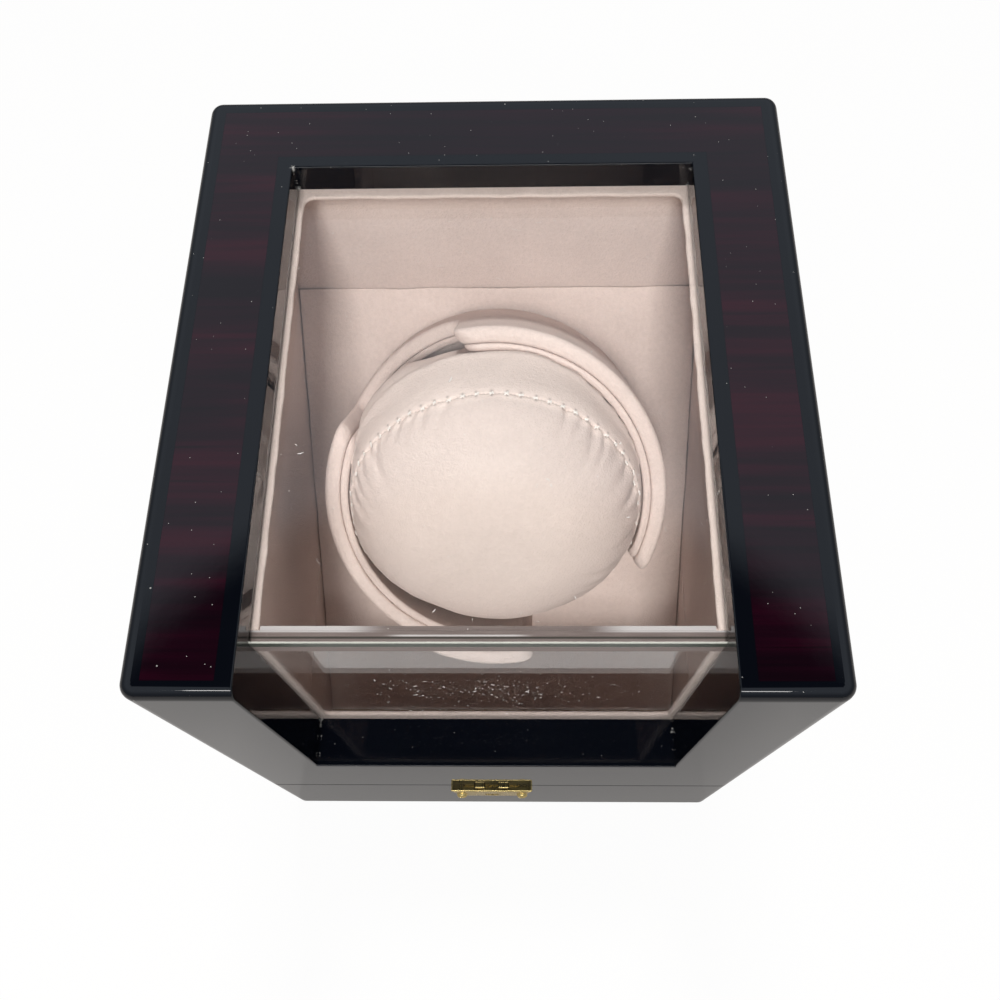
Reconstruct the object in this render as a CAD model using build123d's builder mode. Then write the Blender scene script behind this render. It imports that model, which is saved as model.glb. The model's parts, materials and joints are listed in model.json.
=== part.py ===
from build123d import *

import math
import os

# Watch winder in millimetres: a glossy box with a hinged glass lid over a turning drum.
# The origin is the centre of the underside, -Y is the front and Z points up.

# Case
case_width = 170.0
case_depth = 183.0
case_height = 189.0
seam_height = 49.8
seam_gap = 0.3
corner_radius = 4.0
top_edge_radius = 3.6
arris = 0.5
side_wall = 11.5
front_wall = 15.5
rear_wall = 15.0
top_board = 8.7
felt_thickness = 1.0
felt_inset = 3.0
bottom_board_thickness = 5.0
bottom_rabbet = 6.0
bottom_screw_length = 12.0
bottom_screw_spacing = 65.88
board_play = 0.2
glue_line = 0.02

# Windows and glass
side_rail = 27.2
rear_rail = 26.9
window_bottom = 92.4
glass_thickness = 4.0
glass_bed = 0.05
glass_arris = 0.35
pane_margin = 8.0
lining_thickness = 1.5
lining_lip = 2.5
lip_corner_radius = 3.0
lining_seam_gap = 0.3

# Veneer inlay
inlay_border = 5.6
inlay_band = 17.3
inlay_thickness = 0.6
inlay_front_setback = 4.0

# Slanted deck and what carries it
deck_incline = 42.0
deck_foot_setback = 23.335
deck_rear_clearance = 0.5
deck_side_clearance = 0.8
deck_cover_thickness = 1.0
deck_board_thickness = 4.0
cheek_thickness = 4.0
rear_panel_thickness = 3.0
rear_panel_window_width = 100.0
rear_panel_window_low = 12.0
rear_panel_window_high = 45.0
floor_lining_thickness = 2.0

# Drum
drum_down_slope = 63.8
drum_radius = 56.0
drum_rim_height = 56.2
drum_low_wall_height = 20.2
drum_foot_gap = 1.2
drum_rest_turn = 38.0
high_wall_span = 132.0
cover_thickness = 4.2
shell_wall = 1.8
cup_lining_thickness = 1.8
cup_floor_thickness = 2.5
floor_pad_thickness = 2.0
rim_lip_height = 2.4
rim_groove = 0.3
cover_edge_radius = 1.8
wall_corner_radius = 5.0

# Cushion
cushion_gap = 0.4
cushion_tilt = 21.0
seam_ring_inset = 1.3
seam_ring_rise = 8.0
seam_ring_drop = 2.0
cushion_crown = 17.0
crown_shoulder_radius = 36.0
crown_shoulder_rise = 11.0
cushion_length = 52.0
cushion_bulge = 0.8
cushion_back_slope = 8.2
sewn_channel = 1.0
sewn_channel_reach = 1.4

# Spindle and bearings
spindle_radius = 4.0
spindle_tail_radius = 3.0
spindle_tail_length = 8.2
spindle_flange_radius = 15.0
spindle_flange_thickness = 2.0
running_clearance = 0.05
fit_clearance = 0.03
bush_wall = 2.0
tail_bush_wall = 1.5
bush_flange = 3.0
bush_flange_thickness = 1.4
tail_bush_flange_thickness = 1.0
cover_hole_clearance = 1.0
washer_thickness = 0.4
axial_play = 0.1
cup_screw_circle = 10.0
cup_screw_length = 4.2
flat_depth = 0.8
clip_radius = 5.2
clip_thickness = 0.7
groove_depth = 0.6
clip_mouth = 3.6

# Gears
gear_module = 0.8
gear_teeth = 54
pinion_teeth = 18
pressure_angle = 20.0
tooth_backlash = 0.12
tooth_clearance = 0.2
gear_face = 4.0
gear_top_depth = 8.0
upper_hub_radius = 8.0
upper_hub_length = 1.8
lower_hub_radius = 7.0
lower_hub_length = 0.8
gear_rim = 3.6
gear_web_recess = 1.1
web_hole_radius = 3.0
web_hole_count = 5

# Gear housing, gearbox and motor
housing_depth = 14.0
housing_floor = 2.5
housing_wall = 2.5
housing_flange_thickness = 2.5
housing_flange_margin = 4.6
gear_room = 1.6
boss_length = 2.5
boss_wall = 3.0
housing_screw_reach = 2.8
gearbox_radius = 12.5
gearbox_length = 13.0
gearbox_spigot_radius = 3.5
gearbox_screw_spacing = 14.0
gearbox_screw_bite = 3.5
motor_radius = 11.8
motor_flat = 9.6
motor_length = 19.0
motor_rear_boss_radius = 3.0
motor_rear_boss_length = 1.2
terminal_width = 0.5
terminal_height = 2.0
terminal_offset = 5.9
output_shaft_radius = 2.0
output_shaft_bite = 8.0

# Hinges
hinge_length = 26.0
hinge_spacing = 100.0
hinge_leaf = 0.85
hinge_leaf_gap = 0.1
hinge_leaf_reach = 10.0
hinge_axis_offset = 2.2
hinge_barrel_radius = 2.0
hinge_pin_radius = 1.0
hinge_outer_knuckle = 8.5
hinge_play = 0.15
hinge_screw_spacing = 16.0
hinge_screw_setback = 5.0
hinge_screw_length = 8.0

# Catch
catch_offset = -2.5
catch_width = 30.0
catch_foot_width = 24.0
catch_height = 12.0
catch_thickness = 2.2
catch_skin = 0.8
catch_drop = 0.35
catch_corner_radius = 3.0
catch_edge_radius = 0.5
catch_screw_spacing = 22.4
catch_screw_height = 41.0
catch_screw_length = 9.0
dome_radius = 2.0
dome_height = 1.3
catch_pocket_width = 14.4
catch_pocket_low = 39.6
catch_pocket_high = 47.5
prong_spacing = 8.6
prong_width = 3.4
prong_thickness = 0.9
prong_tip = 44.4
prong_window_width = 1.4
prong_window_height = 2.4
prong_window_corner = 0.63
prong_corner_radius = 1.13
prong_bend_radius = 0.45
prong_play = 0.3
hook_plate_width = 20.0
hook_plate_depth = 8.4
hook_plate_thickness = 0.9
hook_screw_setback = 2.8
hook_screw_length = 8.0
hook_screw_spacing = 13.0
button_radius = 2.45
button_height = 42.0
button_travel = 1.5
button_bar_width = 13.0
button_bar_height = 2.6
button_bar_thickness = 0.8
button_stem_radius = 1.5
button_stem_length = 5.0
button_play = 0.15
button_recess = 0.2
button_bar_corner = 0.85
spring_room_radius = 4.0
spring_room_depth = 8.0
spring_radius = 2.7
spring_wire_radius = 0.3
spring_turns = 3
spring_length = 5.4

# Fasteners
wood_screw_radius = 1.1
wood_screw_head = 1.9
machine_screw_radius = 1.25
machine_screw_head = 2.0
machine_head_height = 1.3

# Power inlet and selector on the rear wall
rear_web = 6.0
jack_offset = 32.0
jack_height = 27.0
jack_radius = 5.2
jack_flange_radius = 6.6
jack_flange_thickness = 1.5
jack_length = 12.0
jack_bore_radius = 2.85
jack_bore_depth = 9.0
jack_pin_radius = 1.0
jack_nut_width = 13.0
nut_thickness = 2.4
jack_room_radius = 9.0
selector_offset = -32.0
selector_height = 27.0
selector_body = 16.0
selector_body_depth = 8.0
selector_room = 18.0
selector_bush_radius = 3.6
selector_nut_width = 10.0
selector_shaft_radius = 3.0
selector_shaft_length = 16.0
selector_corner_radius = 1.5
selector_bore_depth = 14.4
knob_grip = 7.52
knob_radius = 8.0
knob_length = 9.4
knob_standoff = 0.6
knob_room_radius = 6.3
knob_edge_radius = 1.0
knob_flutes = 12
knob_flute = 1.2
knob_turn = 15.0
pointer_width = 1.2
pointer_length = 4.8
pointer_offset = 4.8
pointer_depth = 0.4
pointer_corner = 0.4

# Circuit board on the floor
board_width = 52.0
board_depth = 36.0
board_thickness = 1.6
board_rise = 7.0
board_across = -32.0
board_along = 8.0
board_hole_margin = 3.5
board_corner_radius = 1.5
board_screw_length = 6.5
standoff_radius = 2.6
chip_height = 1.8
driver_chip = (14.0, 7.0)
driver_chip_place = (-4.0, 3.0)
timer_chip = (5.0, 8.0)
timer_chip_place = (-20.0, -5.0)
connector = (9.0, 5.0)
connector_height = 6.0
connector_places = ((14.0, 10.0), (0.0, -12.0))
capacitor_radius = 3.0
capacitor_height = 8.0
capacitor_places = ((17.0, -4.0), (9.0, -7.0))

# Levels and faces of the case
front_face = -case_depth / 2
rear_face = case_depth / 2
base_bottom = felt_thickness
base_top = seam_height - seam_gap / 2
lid_bottom = seam_height + seam_gap / 2
floor_level = base_bottom + bottom_board_thickness
cavity_half_width = case_width / 2 - side_wall
cavity_front = front_face + front_wall
cavity_rear = rear_face - rear_wall
lined_half_width = cavity_half_width - lining_thickness
lined_rear = cavity_rear - lining_thickness
lined_floor = floor_level + floor_lining_thickness
window_half_width = case_width / 2 - side_rail
window_rear = rear_face - rear_rail
top_pane_top = case_height - top_board
top_pane_bottom = top_pane_top - glass_thickness
front_pane_rear = cavity_front + glass_thickness
pane_half_width = window_half_width + pane_margin
pane_rear = window_rear + pane_margin
pane_bottom = window_bottom - pane_margin
lined_ceiling = top_pane_bottom - lining_thickness
lined_front = front_pane_rear + lining_thickness
lip_half_width = window_half_width - lining_lip
lip_rear = window_rear - lining_lip
lip_bottom = window_bottom + lining_lip
lining_low = lid_bottom + lining_seam_gap
lining_high = lined_ceiling - glue_line

# Deck frame: X across, Y up the slope, Z out of the deck along the drum's axis
slope = math.radians(deck_incline)
deck_normal = Vector(0, -math.sin(slope), math.cos(slope))
up_slope = Vector(0, math.cos(slope), math.sin(slope))
deck_rear = lined_rear - deck_rear_clearance
deck_foot = cavity_front + deck_foot_setback
deck_rear_height = floor_level + (deck_rear - deck_foot) * math.tan(slope)
drum_foot = Vector(0, deck_rear, deck_rear_height) - up_slope * drum_down_slope
deck_half_width = lined_half_width - deck_side_clearance
deck_underside = -deck_cover_thickness - deck_board_thickness

# Drum radii from outside in, and its levels above the deck
shell_outer = drum_radius - cover_thickness
shell_inner = shell_outer - shell_wall
cup_radius = shell_inner - cup_lining_thickness
rim_seam_radius = (shell_outer + shell_inner) / 2
cushion_room_radius = cup_radius - cushion_gap
seam_ring_radius = cushion_room_radius - seam_ring_inset
bush_top = bush_flange_thickness - deck_cover_thickness
washer_top = bush_top + washer_thickness
flange_low = washer_top + axial_play
cup_floor_low = flange_low + spindle_flange_thickness
cup_floor_top = cup_floor_low + cup_floor_thickness
pad_top = cup_floor_top + floor_pad_thickness
gap_half_width = drum_radius * math.sin(math.radians((180.0 - high_wall_span) / 2))
gap_turns = (drum_rest_turn + 90.0, drum_rest_turn + 270.0)

# Levels of the drive, measured from the deck's surface downwards
gear_top = -gear_top_depth
gear_low = gear_top - gear_face
housing_low = -housing_depth
housing_underside = housing_low - housing_floor
boss_low = housing_underside - boss_length
tail_bush_top = housing_low + tail_bush_flange_thickness
spindle_shoulder = tail_bush_top + axial_play
clip_top = boss_low - axial_play
gearbox_low = housing_underside - gearbox_length
motor_low = gearbox_low - motor_length

# Gear radii and the distance between the two shafts
gear_radius = gear_module * gear_teeth / 2
pinion_radius = gear_module * pinion_teeth / 2
shaft_distance = gear_radius + pinion_radius
gear_room_radius = gear_radius + gear_module + gear_room
pinion_room_radius = pinion_radius + gear_module + gear_room

# Places of what repeats
hinge_centres = (-hinge_spacing / 2, hinge_spacing / 2)
hinge_screw_shifts = (-hinge_screw_spacing / 2, hinge_screw_spacing / 2)
hinge_axis_y = rear_face + hinge_axis_offset
hinge_middle_knuckle = hinge_length - 2 * hinge_outer_knuckle - 2 * hinge_play
hinge_leaf_front = rear_face - hinge_leaf_reach + hinge_axis_offset
hinge_screw_y = rear_face - hinge_screw_setback
lower_leaf_top = seam_height - hinge_leaf_gap / 2
upper_leaf_low = seam_height + hinge_leaf_gap / 2
catch_top = base_top - catch_drop
catch_low = catch_top - catch_height
catch_screw_places = (
    catch_offset - catch_screw_spacing / 2,
    catch_offset + catch_screw_spacing / 2,
)
prong_places = (catch_offset - prong_spacing / 2, catch_offset + prong_spacing / 2)
hook_screw_places = (
    catch_offset - hook_screw_spacing / 2,
    catch_offset + hook_screw_spacing / 2,
)
hanging = (Align.CENTER, Align.CENTER, Align.MAX)
standing = (Align.CENTER, Align.CENTER, Align.MIN)


def corner_box(low, high, mode=Mode.ADD):
    """A box from its low corner to its high corner, in the part being built."""
    middle = tuple((a + b) / 2 for a, b in zip(low, high))
    size = tuple(b - a for a, b in zip(low, high))
    with Locations(middle):
        Box(*size, mode=mode)


def facing(x, y, z, direction):
    """A plane at a point that faces along Y or Z."""
    return Plane(origin=(x, y, z), x_dir=(1, 0, 0), z_dir=direction)


def slope_point(across, along, level):
    """A point given across the deck, up its slope and out of its surface."""
    return drum_foot + Vector(across, 0, 0) + up_slope * along + deck_normal * level


def deck_level(level, across=0.0, along=0.0, direction=1):
    """A plane parallel to the deck, facing out of it, or into it with direction -1."""
    origin = slope_point(across, along, level)
    return Plane(origin=origin, x_dir=(1, 0, 0), z_dir=deck_normal * direction)


def deck_height(y, level):
    """The height of a level of the deck at a distance along Y."""
    return drum_foot.Z + (level + math.sin(slope) * (y - drum_foot.Y)) / math.cos(slope)


def deck_reach(z, level):
    """The place along Y where a level of the deck is at a height."""
    return drum_foot.Y + (math.cos(slope) * (z - drum_foot.Z) - level) / math.sin(slope)


def countersunk_screws(places, radius, head, length):
    """Countersunk screws in the part being built, their heads level with the places."""
    with Locations(*places):
        Cylinder(radius, length, align=hanging)
        Cone(radius, head, head - radius, align=hanging)


def pan_screws(places, radius, head, length):
    """Screws in the part being built, with flat heads that sit on the places."""
    with Locations(*places):
        Cylinder(radius, length, align=hanging)
        Cylinder(head, machine_head_height, align=standing)


def sunk_holes(places, radius, head, depth):
    """Countersunk holes for those screws in the part being built."""
    with Locations(*places):
        CounterSinkHole(
            radius + fit_clearance, head + fit_clearance, depth, counter_sink_angle=90
        )


def plain_holes(places, radius, depth):
    """Holes in the part being built, from the places inwards, as deep as asked."""
    with Locations(*places):
        Cylinder(radius, depth, align=hanging, mode=Mode.SUBTRACT)


os.makedirs("parts", exist_ok=True)

# Base
base_screw_places = [
    facing(side * (cavity_half_width + bottom_rabbet / 2), along, base_bottom, (0, 0, -1))
    for side in (-1, 1)
    for along in (-bottom_screw_spacing, 0.0, bottom_screw_spacing)
]
lower_hinge_places = [
    facing(centre + shift, hinge_screw_y, lower_leaf_top, (0, 0, 1))
    for centre in hinge_centres
    for shift in hinge_screw_shifts
]
catch_front = front_face - catch_thickness
jack_place = facing(jack_offset, rear_face, jack_height, (0, 1, 0))
selector_place = facing(selector_offset, rear_face, selector_height, (0, 1, 0))
button_place = facing(catch_offset, front_face, button_height, (0, -1, 0))

with BuildPart() as base_frame:
    with BuildSketch(Plane.XY.offset(base_bottom)):
        RectangleRounded(case_width, case_depth, corner_radius)
    extrude(amount=base_top - base_bottom)
    chamfer(base_frame.edges().group_by(Axis.Z)[0], arris)
    fillet(base_frame.edges().group_by(Axis.Z)[-1], arris)
    corner_box(
        (-cavity_half_width, cavity_front, base_bottom),
        (cavity_half_width, cavity_rear, base_top),
        mode=Mode.SUBTRACT,
    )
    corner_box(
        (-cavity_half_width - bottom_rabbet, cavity_front - bottom_rabbet, base_bottom),
        (cavity_half_width + bottom_rabbet, cavity_rear + bottom_rabbet, floor_level),
        mode=Mode.SUBTRACT,
    )
    plain_holes(
        [place.offset(-bottom_board_thickness) for place in base_screw_places],
        wood_screw_radius + fit_clearance,
        bottom_screw_length - bottom_board_thickness + board_play,
    )
    for centre in hinge_centres:
        corner_box(
            (
                centre - hinge_length / 2 - fit_clearance,
                hinge_leaf_front - fit_clearance,
                lower_leaf_top - hinge_leaf,
            ),
            (centre + hinge_length / 2 + fit_clearance, rear_face, base_top),
            mode=Mode.SUBTRACT,
        )
    plain_holes(
        lower_hinge_places, wood_screw_radius + fit_clearance, hinge_screw_length + board_play
    )
    plain_holes(
        [facing(x, front_face, catch_screw_height, (0, -1, 0)) for x in catch_screw_places],
        wood_screw_radius + fit_clearance,
        catch_screw_length - catch_thickness + board_play,
    )
    corner_box(
        (catch_offset - catch_pocket_width / 2, front_face, catch_pocket_low),
        (
            catch_offset + catch_pocket_width / 2,
            front_face + button_travel + prong_play,
            catch_pocket_high,
        ),
        mode=Mode.SUBTRACT,
    )
    plain_holes([button_place], spring_room_radius, spring_room_depth)
    plain_holes([jack_place], jack_radius + fit_clearance, rear_wall)
    plain_holes([jack_place.offset(-rear_web)], jack_room_radius, rear_wall - rear_web)
    plain_holes([selector_place], selector_bush_radius + fit_clearance, rear_wall)
    with Locations(selector_place.offset(-rear_web)):
        Box(
            selector_room, selector_room, rear_wall - rear_web, align=hanging,
            mode=Mode.SUBTRACT,
        )

base_frame.part.label = "base_frame"
export_step(base_frame.part, "parts/base_frame.step")

with BuildPart() as bottom_board:
    corner_box(
        (
            board_play - cavity_half_width - bottom_rabbet,
            board_play + cavity_front - bottom_rabbet,
            base_bottom,
        ),
        (
            cavity_half_width + bottom_rabbet - board_play,
            cavity_rear + bottom_rabbet - board_play,
            floor_level,
        ),
    )
    sunk_holes(
        base_screw_places, wood_screw_radius, wood_screw_head, bottom_board_thickness
    )

bottom_board.part.label = "bottom_board"
export_step(bottom_board.part, "parts/bottom_board.step")

with BuildPart() as bottom_screws:
    countersunk_screws(
        base_screw_places, wood_screw_radius, wood_screw_head, bottom_screw_length
    )

bottom_screws.part.label = "bottom_screws"
export_step(bottom_screws.part, "parts/bottom_screws.step")

with BuildPart() as underside_felt:
    with BuildSketch():
        RectangleRounded(
            case_width - 2 * felt_inset, case_depth - 2 * felt_inset, corner_radius
        )
    extrude(amount=felt_thickness)

underside_felt.part.label = "underside_felt"
export_step(underside_felt.part, "parts/underside_felt.step")

# Lining of the base in front of and beside the deck
with BuildPart() as base_floor_lining:
    with BuildSketch(Plane.YZ.offset(-lined_half_width + fit_clearance)):
        with BuildLine():
            Polyline(
                (cavity_front + lining_thickness + fit_clearance, floor_level),
                (deck_reach(floor_level, glue_line), floor_level),
                (deck_reach(lined_floor, glue_line), lined_floor),
                (cavity_front + lining_thickness + fit_clearance, lined_floor),
                close=True,
            )
        make_face()
    extrude(amount=2 * (lined_half_width - fit_clearance))

base_floor_lining.part.label = "base_floor_lining"
export_step(base_floor_lining.part, "parts/base_floor_lining.step")

with BuildPart() as base_wall_lining:
    corner_box(
        (glue_line - cavity_half_width, cavity_front + glue_line, floor_level),
        (cavity_half_width - glue_line, cavity_rear - glue_line, base_top - lining_seam_gap),
    )
    corner_box(
        (-lined_half_width, cavity_front + lining_thickness, floor_level),
        (lined_half_width, cavity_rear, base_top),
        mode=Mode.SUBTRACT,
    )

base_wall_lining.part.label = "base_wall_lining"
export_step(base_wall_lining.part, "parts/base_wall_lining.step")

# Deck with the cheeks and the rear panel that carry it
rear_panel_front = deck_rear - rear_panel_thickness
housing_screw_circle = gear_room_radius + housing_wall + housing_flange_margin / 2
pinion_screw_circle = pinion_room_radius + housing_wall + housing_flange_margin / 2
housing_screw_spots = [
    (housing_screw_circle * math.cos(turn), housing_screw_circle * math.sin(turn))
    for turn in (math.pi / 2, math.pi, -math.pi / 2)
]
housing_screw_spots += [
    (
        shaft_distance + pinion_screw_circle * math.cos(turn),
        pinion_screw_circle * math.sin(turn),
    )
    for turn in (math.pi / 3, -math.pi / 3)
]

with BuildPart() as deck_board:
    with BuildSketch(Plane.YZ.offset(-deck_half_width)):
        with BuildLine():
            Polyline(
                (deck_reach(floor_level, deck_underside), floor_level),
                (deck_rear, deck_height(deck_rear, deck_underside)),
                (deck_rear, deck_height(deck_rear, -deck_cover_thickness)),
                (deck_reach(floor_level, -deck_cover_thickness), floor_level),
                close=True,
            )
        make_face()
    extrude(amount=2 * deck_half_width)
    with Locations(deck_level(-deck_cover_thickness)):
        Hole(spindle_radius + bush_wall + fit_clearance, 2 * deck_board_thickness)
    plain_holes(
        [deck_level(deck_underside, x, y, -1) for x, y in housing_screw_spots],
        wood_screw_radius + fit_clearance,
        housing_screw_reach + fit_clearance,
    )

deck_board.part.label = "deck_board"
export_step(deck_board.part, "parts/deck_board.step")

with BuildPart() as deck_cover:
    with BuildSketch(Plane.YZ.offset(-deck_half_width)):
        with BuildLine():
            Polyline(
                (deck_reach(floor_level, -deck_cover_thickness), floor_level),
                (deck_rear, deck_height(deck_rear, -deck_cover_thickness)),
                (deck_rear, deck_height(deck_rear, 0)),
                (deck_reach(floor_level, 0), floor_level),
                close=True,
            )
        make_face()
    extrude(amount=2 * deck_half_width)
    with Locations(deck_level(0)):
        Hole(
            spindle_radius + bush_wall + bush_flange + cover_hole_clearance,
            2 * deck_cover_thickness,
        )

deck_cover.part.label = "deck_cover"
export_step(deck_cover.part, "parts/deck_cover.step")

for side, name in ((-1, "left_cheek"), (1, "right_cheek")):
    inner_face = side * (deck_half_width - cheek_thickness)
    with BuildPart() as cheek:
        with BuildSketch(Plane.YZ.offset(inner_face)):
            with BuildLine():
                Polyline(
                    (deck_reach(floor_level, deck_underside), floor_level),
                    (rear_panel_front, floor_level),
                    (rear_panel_front, deck_height(rear_panel_front, deck_underside)),
                    close=True,
                )
            make_face()
        extrude(amount=side * cheek_thickness)
    cheek.part.label = name
    export_step(cheek.part, f"parts/{name}.step")

with BuildPart() as rear_console_panel:
    with BuildSketch(Plane.YZ.offset(-deck_half_width)):
        with BuildLine():
            Polyline(
                (rear_panel_front, floor_level),
                (deck_rear, floor_level),
                (deck_rear, deck_height(deck_rear, deck_underside)),
                (rear_panel_front, deck_height(rear_panel_front, deck_underside)),
                close=True,
            )
        make_face()
    extrude(amount=2 * deck_half_width)
    corner_box(
        (-rear_panel_window_width / 2, rear_panel_front, rear_panel_window_low),
        (rear_panel_window_width / 2, deck_rear, rear_panel_window_high),
        mode=Mode.SUBTRACT,
    )

rear_console_panel.part.label = "rear_console_panel"
export_step(rear_console_panel.part, "parts/rear_console_panel.step")

# Bearings of the drum
with BuildPart() as upper_bush:
    with BuildSketch(deck_level(-deck_cover_thickness)):
        Circle(spindle_radius + bush_wall + bush_flange)
    extrude(amount=bush_flange_thickness)
    with BuildSketch(deck_level(-deck_cover_thickness)):
        Circle(spindle_radius + bush_wall)
    extrude(amount=-deck_board_thickness - axial_play)
    with Locations(deck_level(bush_top)):
        Hole(spindle_radius + running_clearance, 3 * deck_board_thickness)

upper_bush.part.label = "upper_bush"
export_step(upper_bush.part, "parts/upper_bush.step")

with BuildPart() as lower_bush:
    with BuildSketch(deck_level(housing_low)):
        Circle(spindle_tail_radius + tail_bush_wall + tail_bush_wall)
    extrude(amount=tail_bush_flange_thickness)
    with BuildSketch(deck_level(housing_low)):
        Circle(spindle_tail_radius + tail_bush_wall)
    extrude(amount=boss_low - housing_low)
    with Locations(deck_level(tail_bush_top)):
        Hole(spindle_tail_radius + running_clearance, 2 * (tail_bush_top - boss_low))

lower_bush.part.label = "lower_bush"
export_step(lower_bush.part, "parts/lower_bush.step")

with BuildPart() as thrust_washer:
    with BuildSketch(deck_level(bush_top)):
        Circle(spindle_radius + bush_wall + bush_flange - axial_play)
        Circle(spindle_radius + axial_play, mode=Mode.SUBTRACT)
    extrude(amount=washer_thickness)

thrust_washer.part.label = "thrust_washer"
export_step(thrust_washer.part, "parts/thrust_washer.step")

# Drive under the deck
gearbox_screw_spots = [
    (shaft_distance, -gearbox_screw_spacing / 2),
    (shaft_distance, gearbox_screw_spacing / 2),
]


def tray_outline(level, margin):
    """The tray's outline at a level: a hull round the gear's room and the pinion's room."""
    with BuildSketch(deck_level(level)) as outline:
        Circle(gear_room_radius + margin)
        with Locations((shaft_distance, 0)):
            Circle(pinion_room_radius + margin)
        make_hull()
    return outline.sketch


with BuildPart() as gear_housing:
    extrude(
        tray_outline(housing_underside, housing_wall), amount=deck_underside - housing_underside
    )
    extrude(
        tray_outline(deck_underside, housing_wall + housing_flange_margin),
        amount=-housing_flange_thickness,
        dir=deck_normal,
    )
    extrude(
        tray_outline(housing_low, 0.0), amount=deck_underside - housing_low, mode=Mode.SUBTRACT
    )
    with BuildSketch(deck_level(boss_low)):
        Circle(spindle_tail_radius + tail_bush_wall + boss_wall)
    extrude(amount=boss_length)
    with Locations(deck_level(housing_low)):
        Hole(spindle_tail_radius + tail_bush_wall + fit_clearance, housing_depth)
    with Locations(deck_level(housing_low, shaft_distance)):
        Hole(gearbox_spigot_radius + fit_clearance, 2 * housing_floor)
    plain_holes(
        [deck_level(deck_underside, x, y) for x, y in housing_screw_spots],
        wood_screw_radius + fit_clearance,
        2 * housing_flange_thickness,
    )
    plain_holes(
        [deck_level(housing_low, x, y) for x, y in gearbox_screw_spots],
        machine_screw_radius + fit_clearance,
        2 * housing_floor,
    )

gear_housing.part.label = "gear_housing"
export_step(gear_housing.part, "parts/gear_housing.step")

with BuildPart() as housing_screws:
    pan_screws(
        [
            deck_level(deck_underside - housing_flange_thickness, x, y, -1)
            for x, y in housing_screw_spots
        ],
        wood_screw_radius,
        wood_screw_head,
        housing_flange_thickness + housing_screw_reach,
    )

housing_screws.part.label = "housing_screws"
export_step(housing_screws.part, "parts/housing_screws.step")

with BuildPart() as gearbox_case:
    with BuildSketch(deck_level(gearbox_low, shaft_distance)):
        Circle(gearbox_radius)
    extrude(amount=gearbox_length)
    with BuildSketch(deck_level(housing_underside, shaft_distance)):
        Circle(gearbox_spigot_radius)
    extrude(amount=housing_floor - axial_play)
    with Locations(deck_level(housing_low, shaft_distance)):
        Hole(output_shaft_radius + running_clearance, housing_floor + output_shaft_bite)
    plain_holes(
        [deck_level(housing_underside, x, y) for x, y in gearbox_screw_spots],
        machine_screw_radius + fit_clearance,
        gearbox_screw_bite + fit_clearance,
    )

gearbox_case.part.label = "gearbox_case"
export_step(gearbox_case.part, "parts/gearbox_case.step")

with BuildPart() as gearbox_screws:
    pan_screws(
        [deck_level(housing_low, x, y) for x, y in gearbox_screw_spots],
        machine_screw_radius,
        machine_screw_head,
        housing_floor + gearbox_screw_bite,
    )

gearbox_screws.part.label = "gearbox_screws"
export_step(gearbox_screws.part, "parts/gearbox_screws.step")

with BuildPart() as motor_can:
    with BuildSketch(deck_level(motor_low, shaft_distance)):
        Circle(motor_radius)
        Rectangle(2 * motor_radius, 2 * motor_flat, mode=Mode.INTERSECT)
    extrude(amount=motor_length)
    with BuildSketch(deck_level(motor_low, shaft_distance)):
        Circle(motor_rear_boss_radius)
        with Locations((-terminal_offset, 0), (terminal_offset, 0)):
            Rectangle(terminal_width, terminal_height)
    extrude(amount=-motor_rear_boss_length)

motor_can.part.label = "motor_can"
export_step(motor_can.part, "parts/motor_can.step")


def gear_outline(teeth, turn):
    """A closed gear outline about the origin, its involute flanks as arcs through three points."""
    pitch = gear_module * teeth / 2
    tip = pitch + gear_module
    root = pitch - gear_module - tooth_clearance
    base = pitch * math.cos(math.radians(pressure_angle))
    start = max(base, root)
    step = 2 * math.pi / teeth

    def roll(radius):
        angle = math.acos(base / radius)
        return math.tan(angle) - angle

    def half_tooth(radius):
        return step / 4 - tooth_backlash / (4 * pitch) + roll(pitch) - roll(radius)

    def at(radius, angle):
        return (radius * math.cos(angle), radius * math.sin(angle))

    with BuildLine() as outline:
        for tooth in range(teeth):
            centre = turn + tooth * step
            rise = [at(r, centre - half_tooth(r)) for r in (start, (start + tip) / 2, tip)]
            fall = [at(r, centre + half_tooth(r)) for r in (tip, (start + tip) / 2, start)]
            foot = at(root, centre + half_tooth(start))
            next_foot = at(root, centre + step - half_tooth(start))
            ThreePointArc(*rise)
            Line(rise[2], fall[0])
            ThreePointArc(*fall)
            Line(foot, next_foot)
            if root < start:
                Line(fall[2], foot)
                Line(next_foot, at(start, centre + step - half_tooth(start)))
    return outline.line


gear_edges = gear_outline(gear_teeth, 0.0)
pinion_edges = gear_outline(pinion_teeth, math.pi / pinion_teeth)
flat_height = spindle_radius - flat_depth
web_outer = gear_radius - gear_module - tooth_clearance - gear_rim
web_hole_circle = (web_outer + upper_hub_radius) / 2

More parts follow.
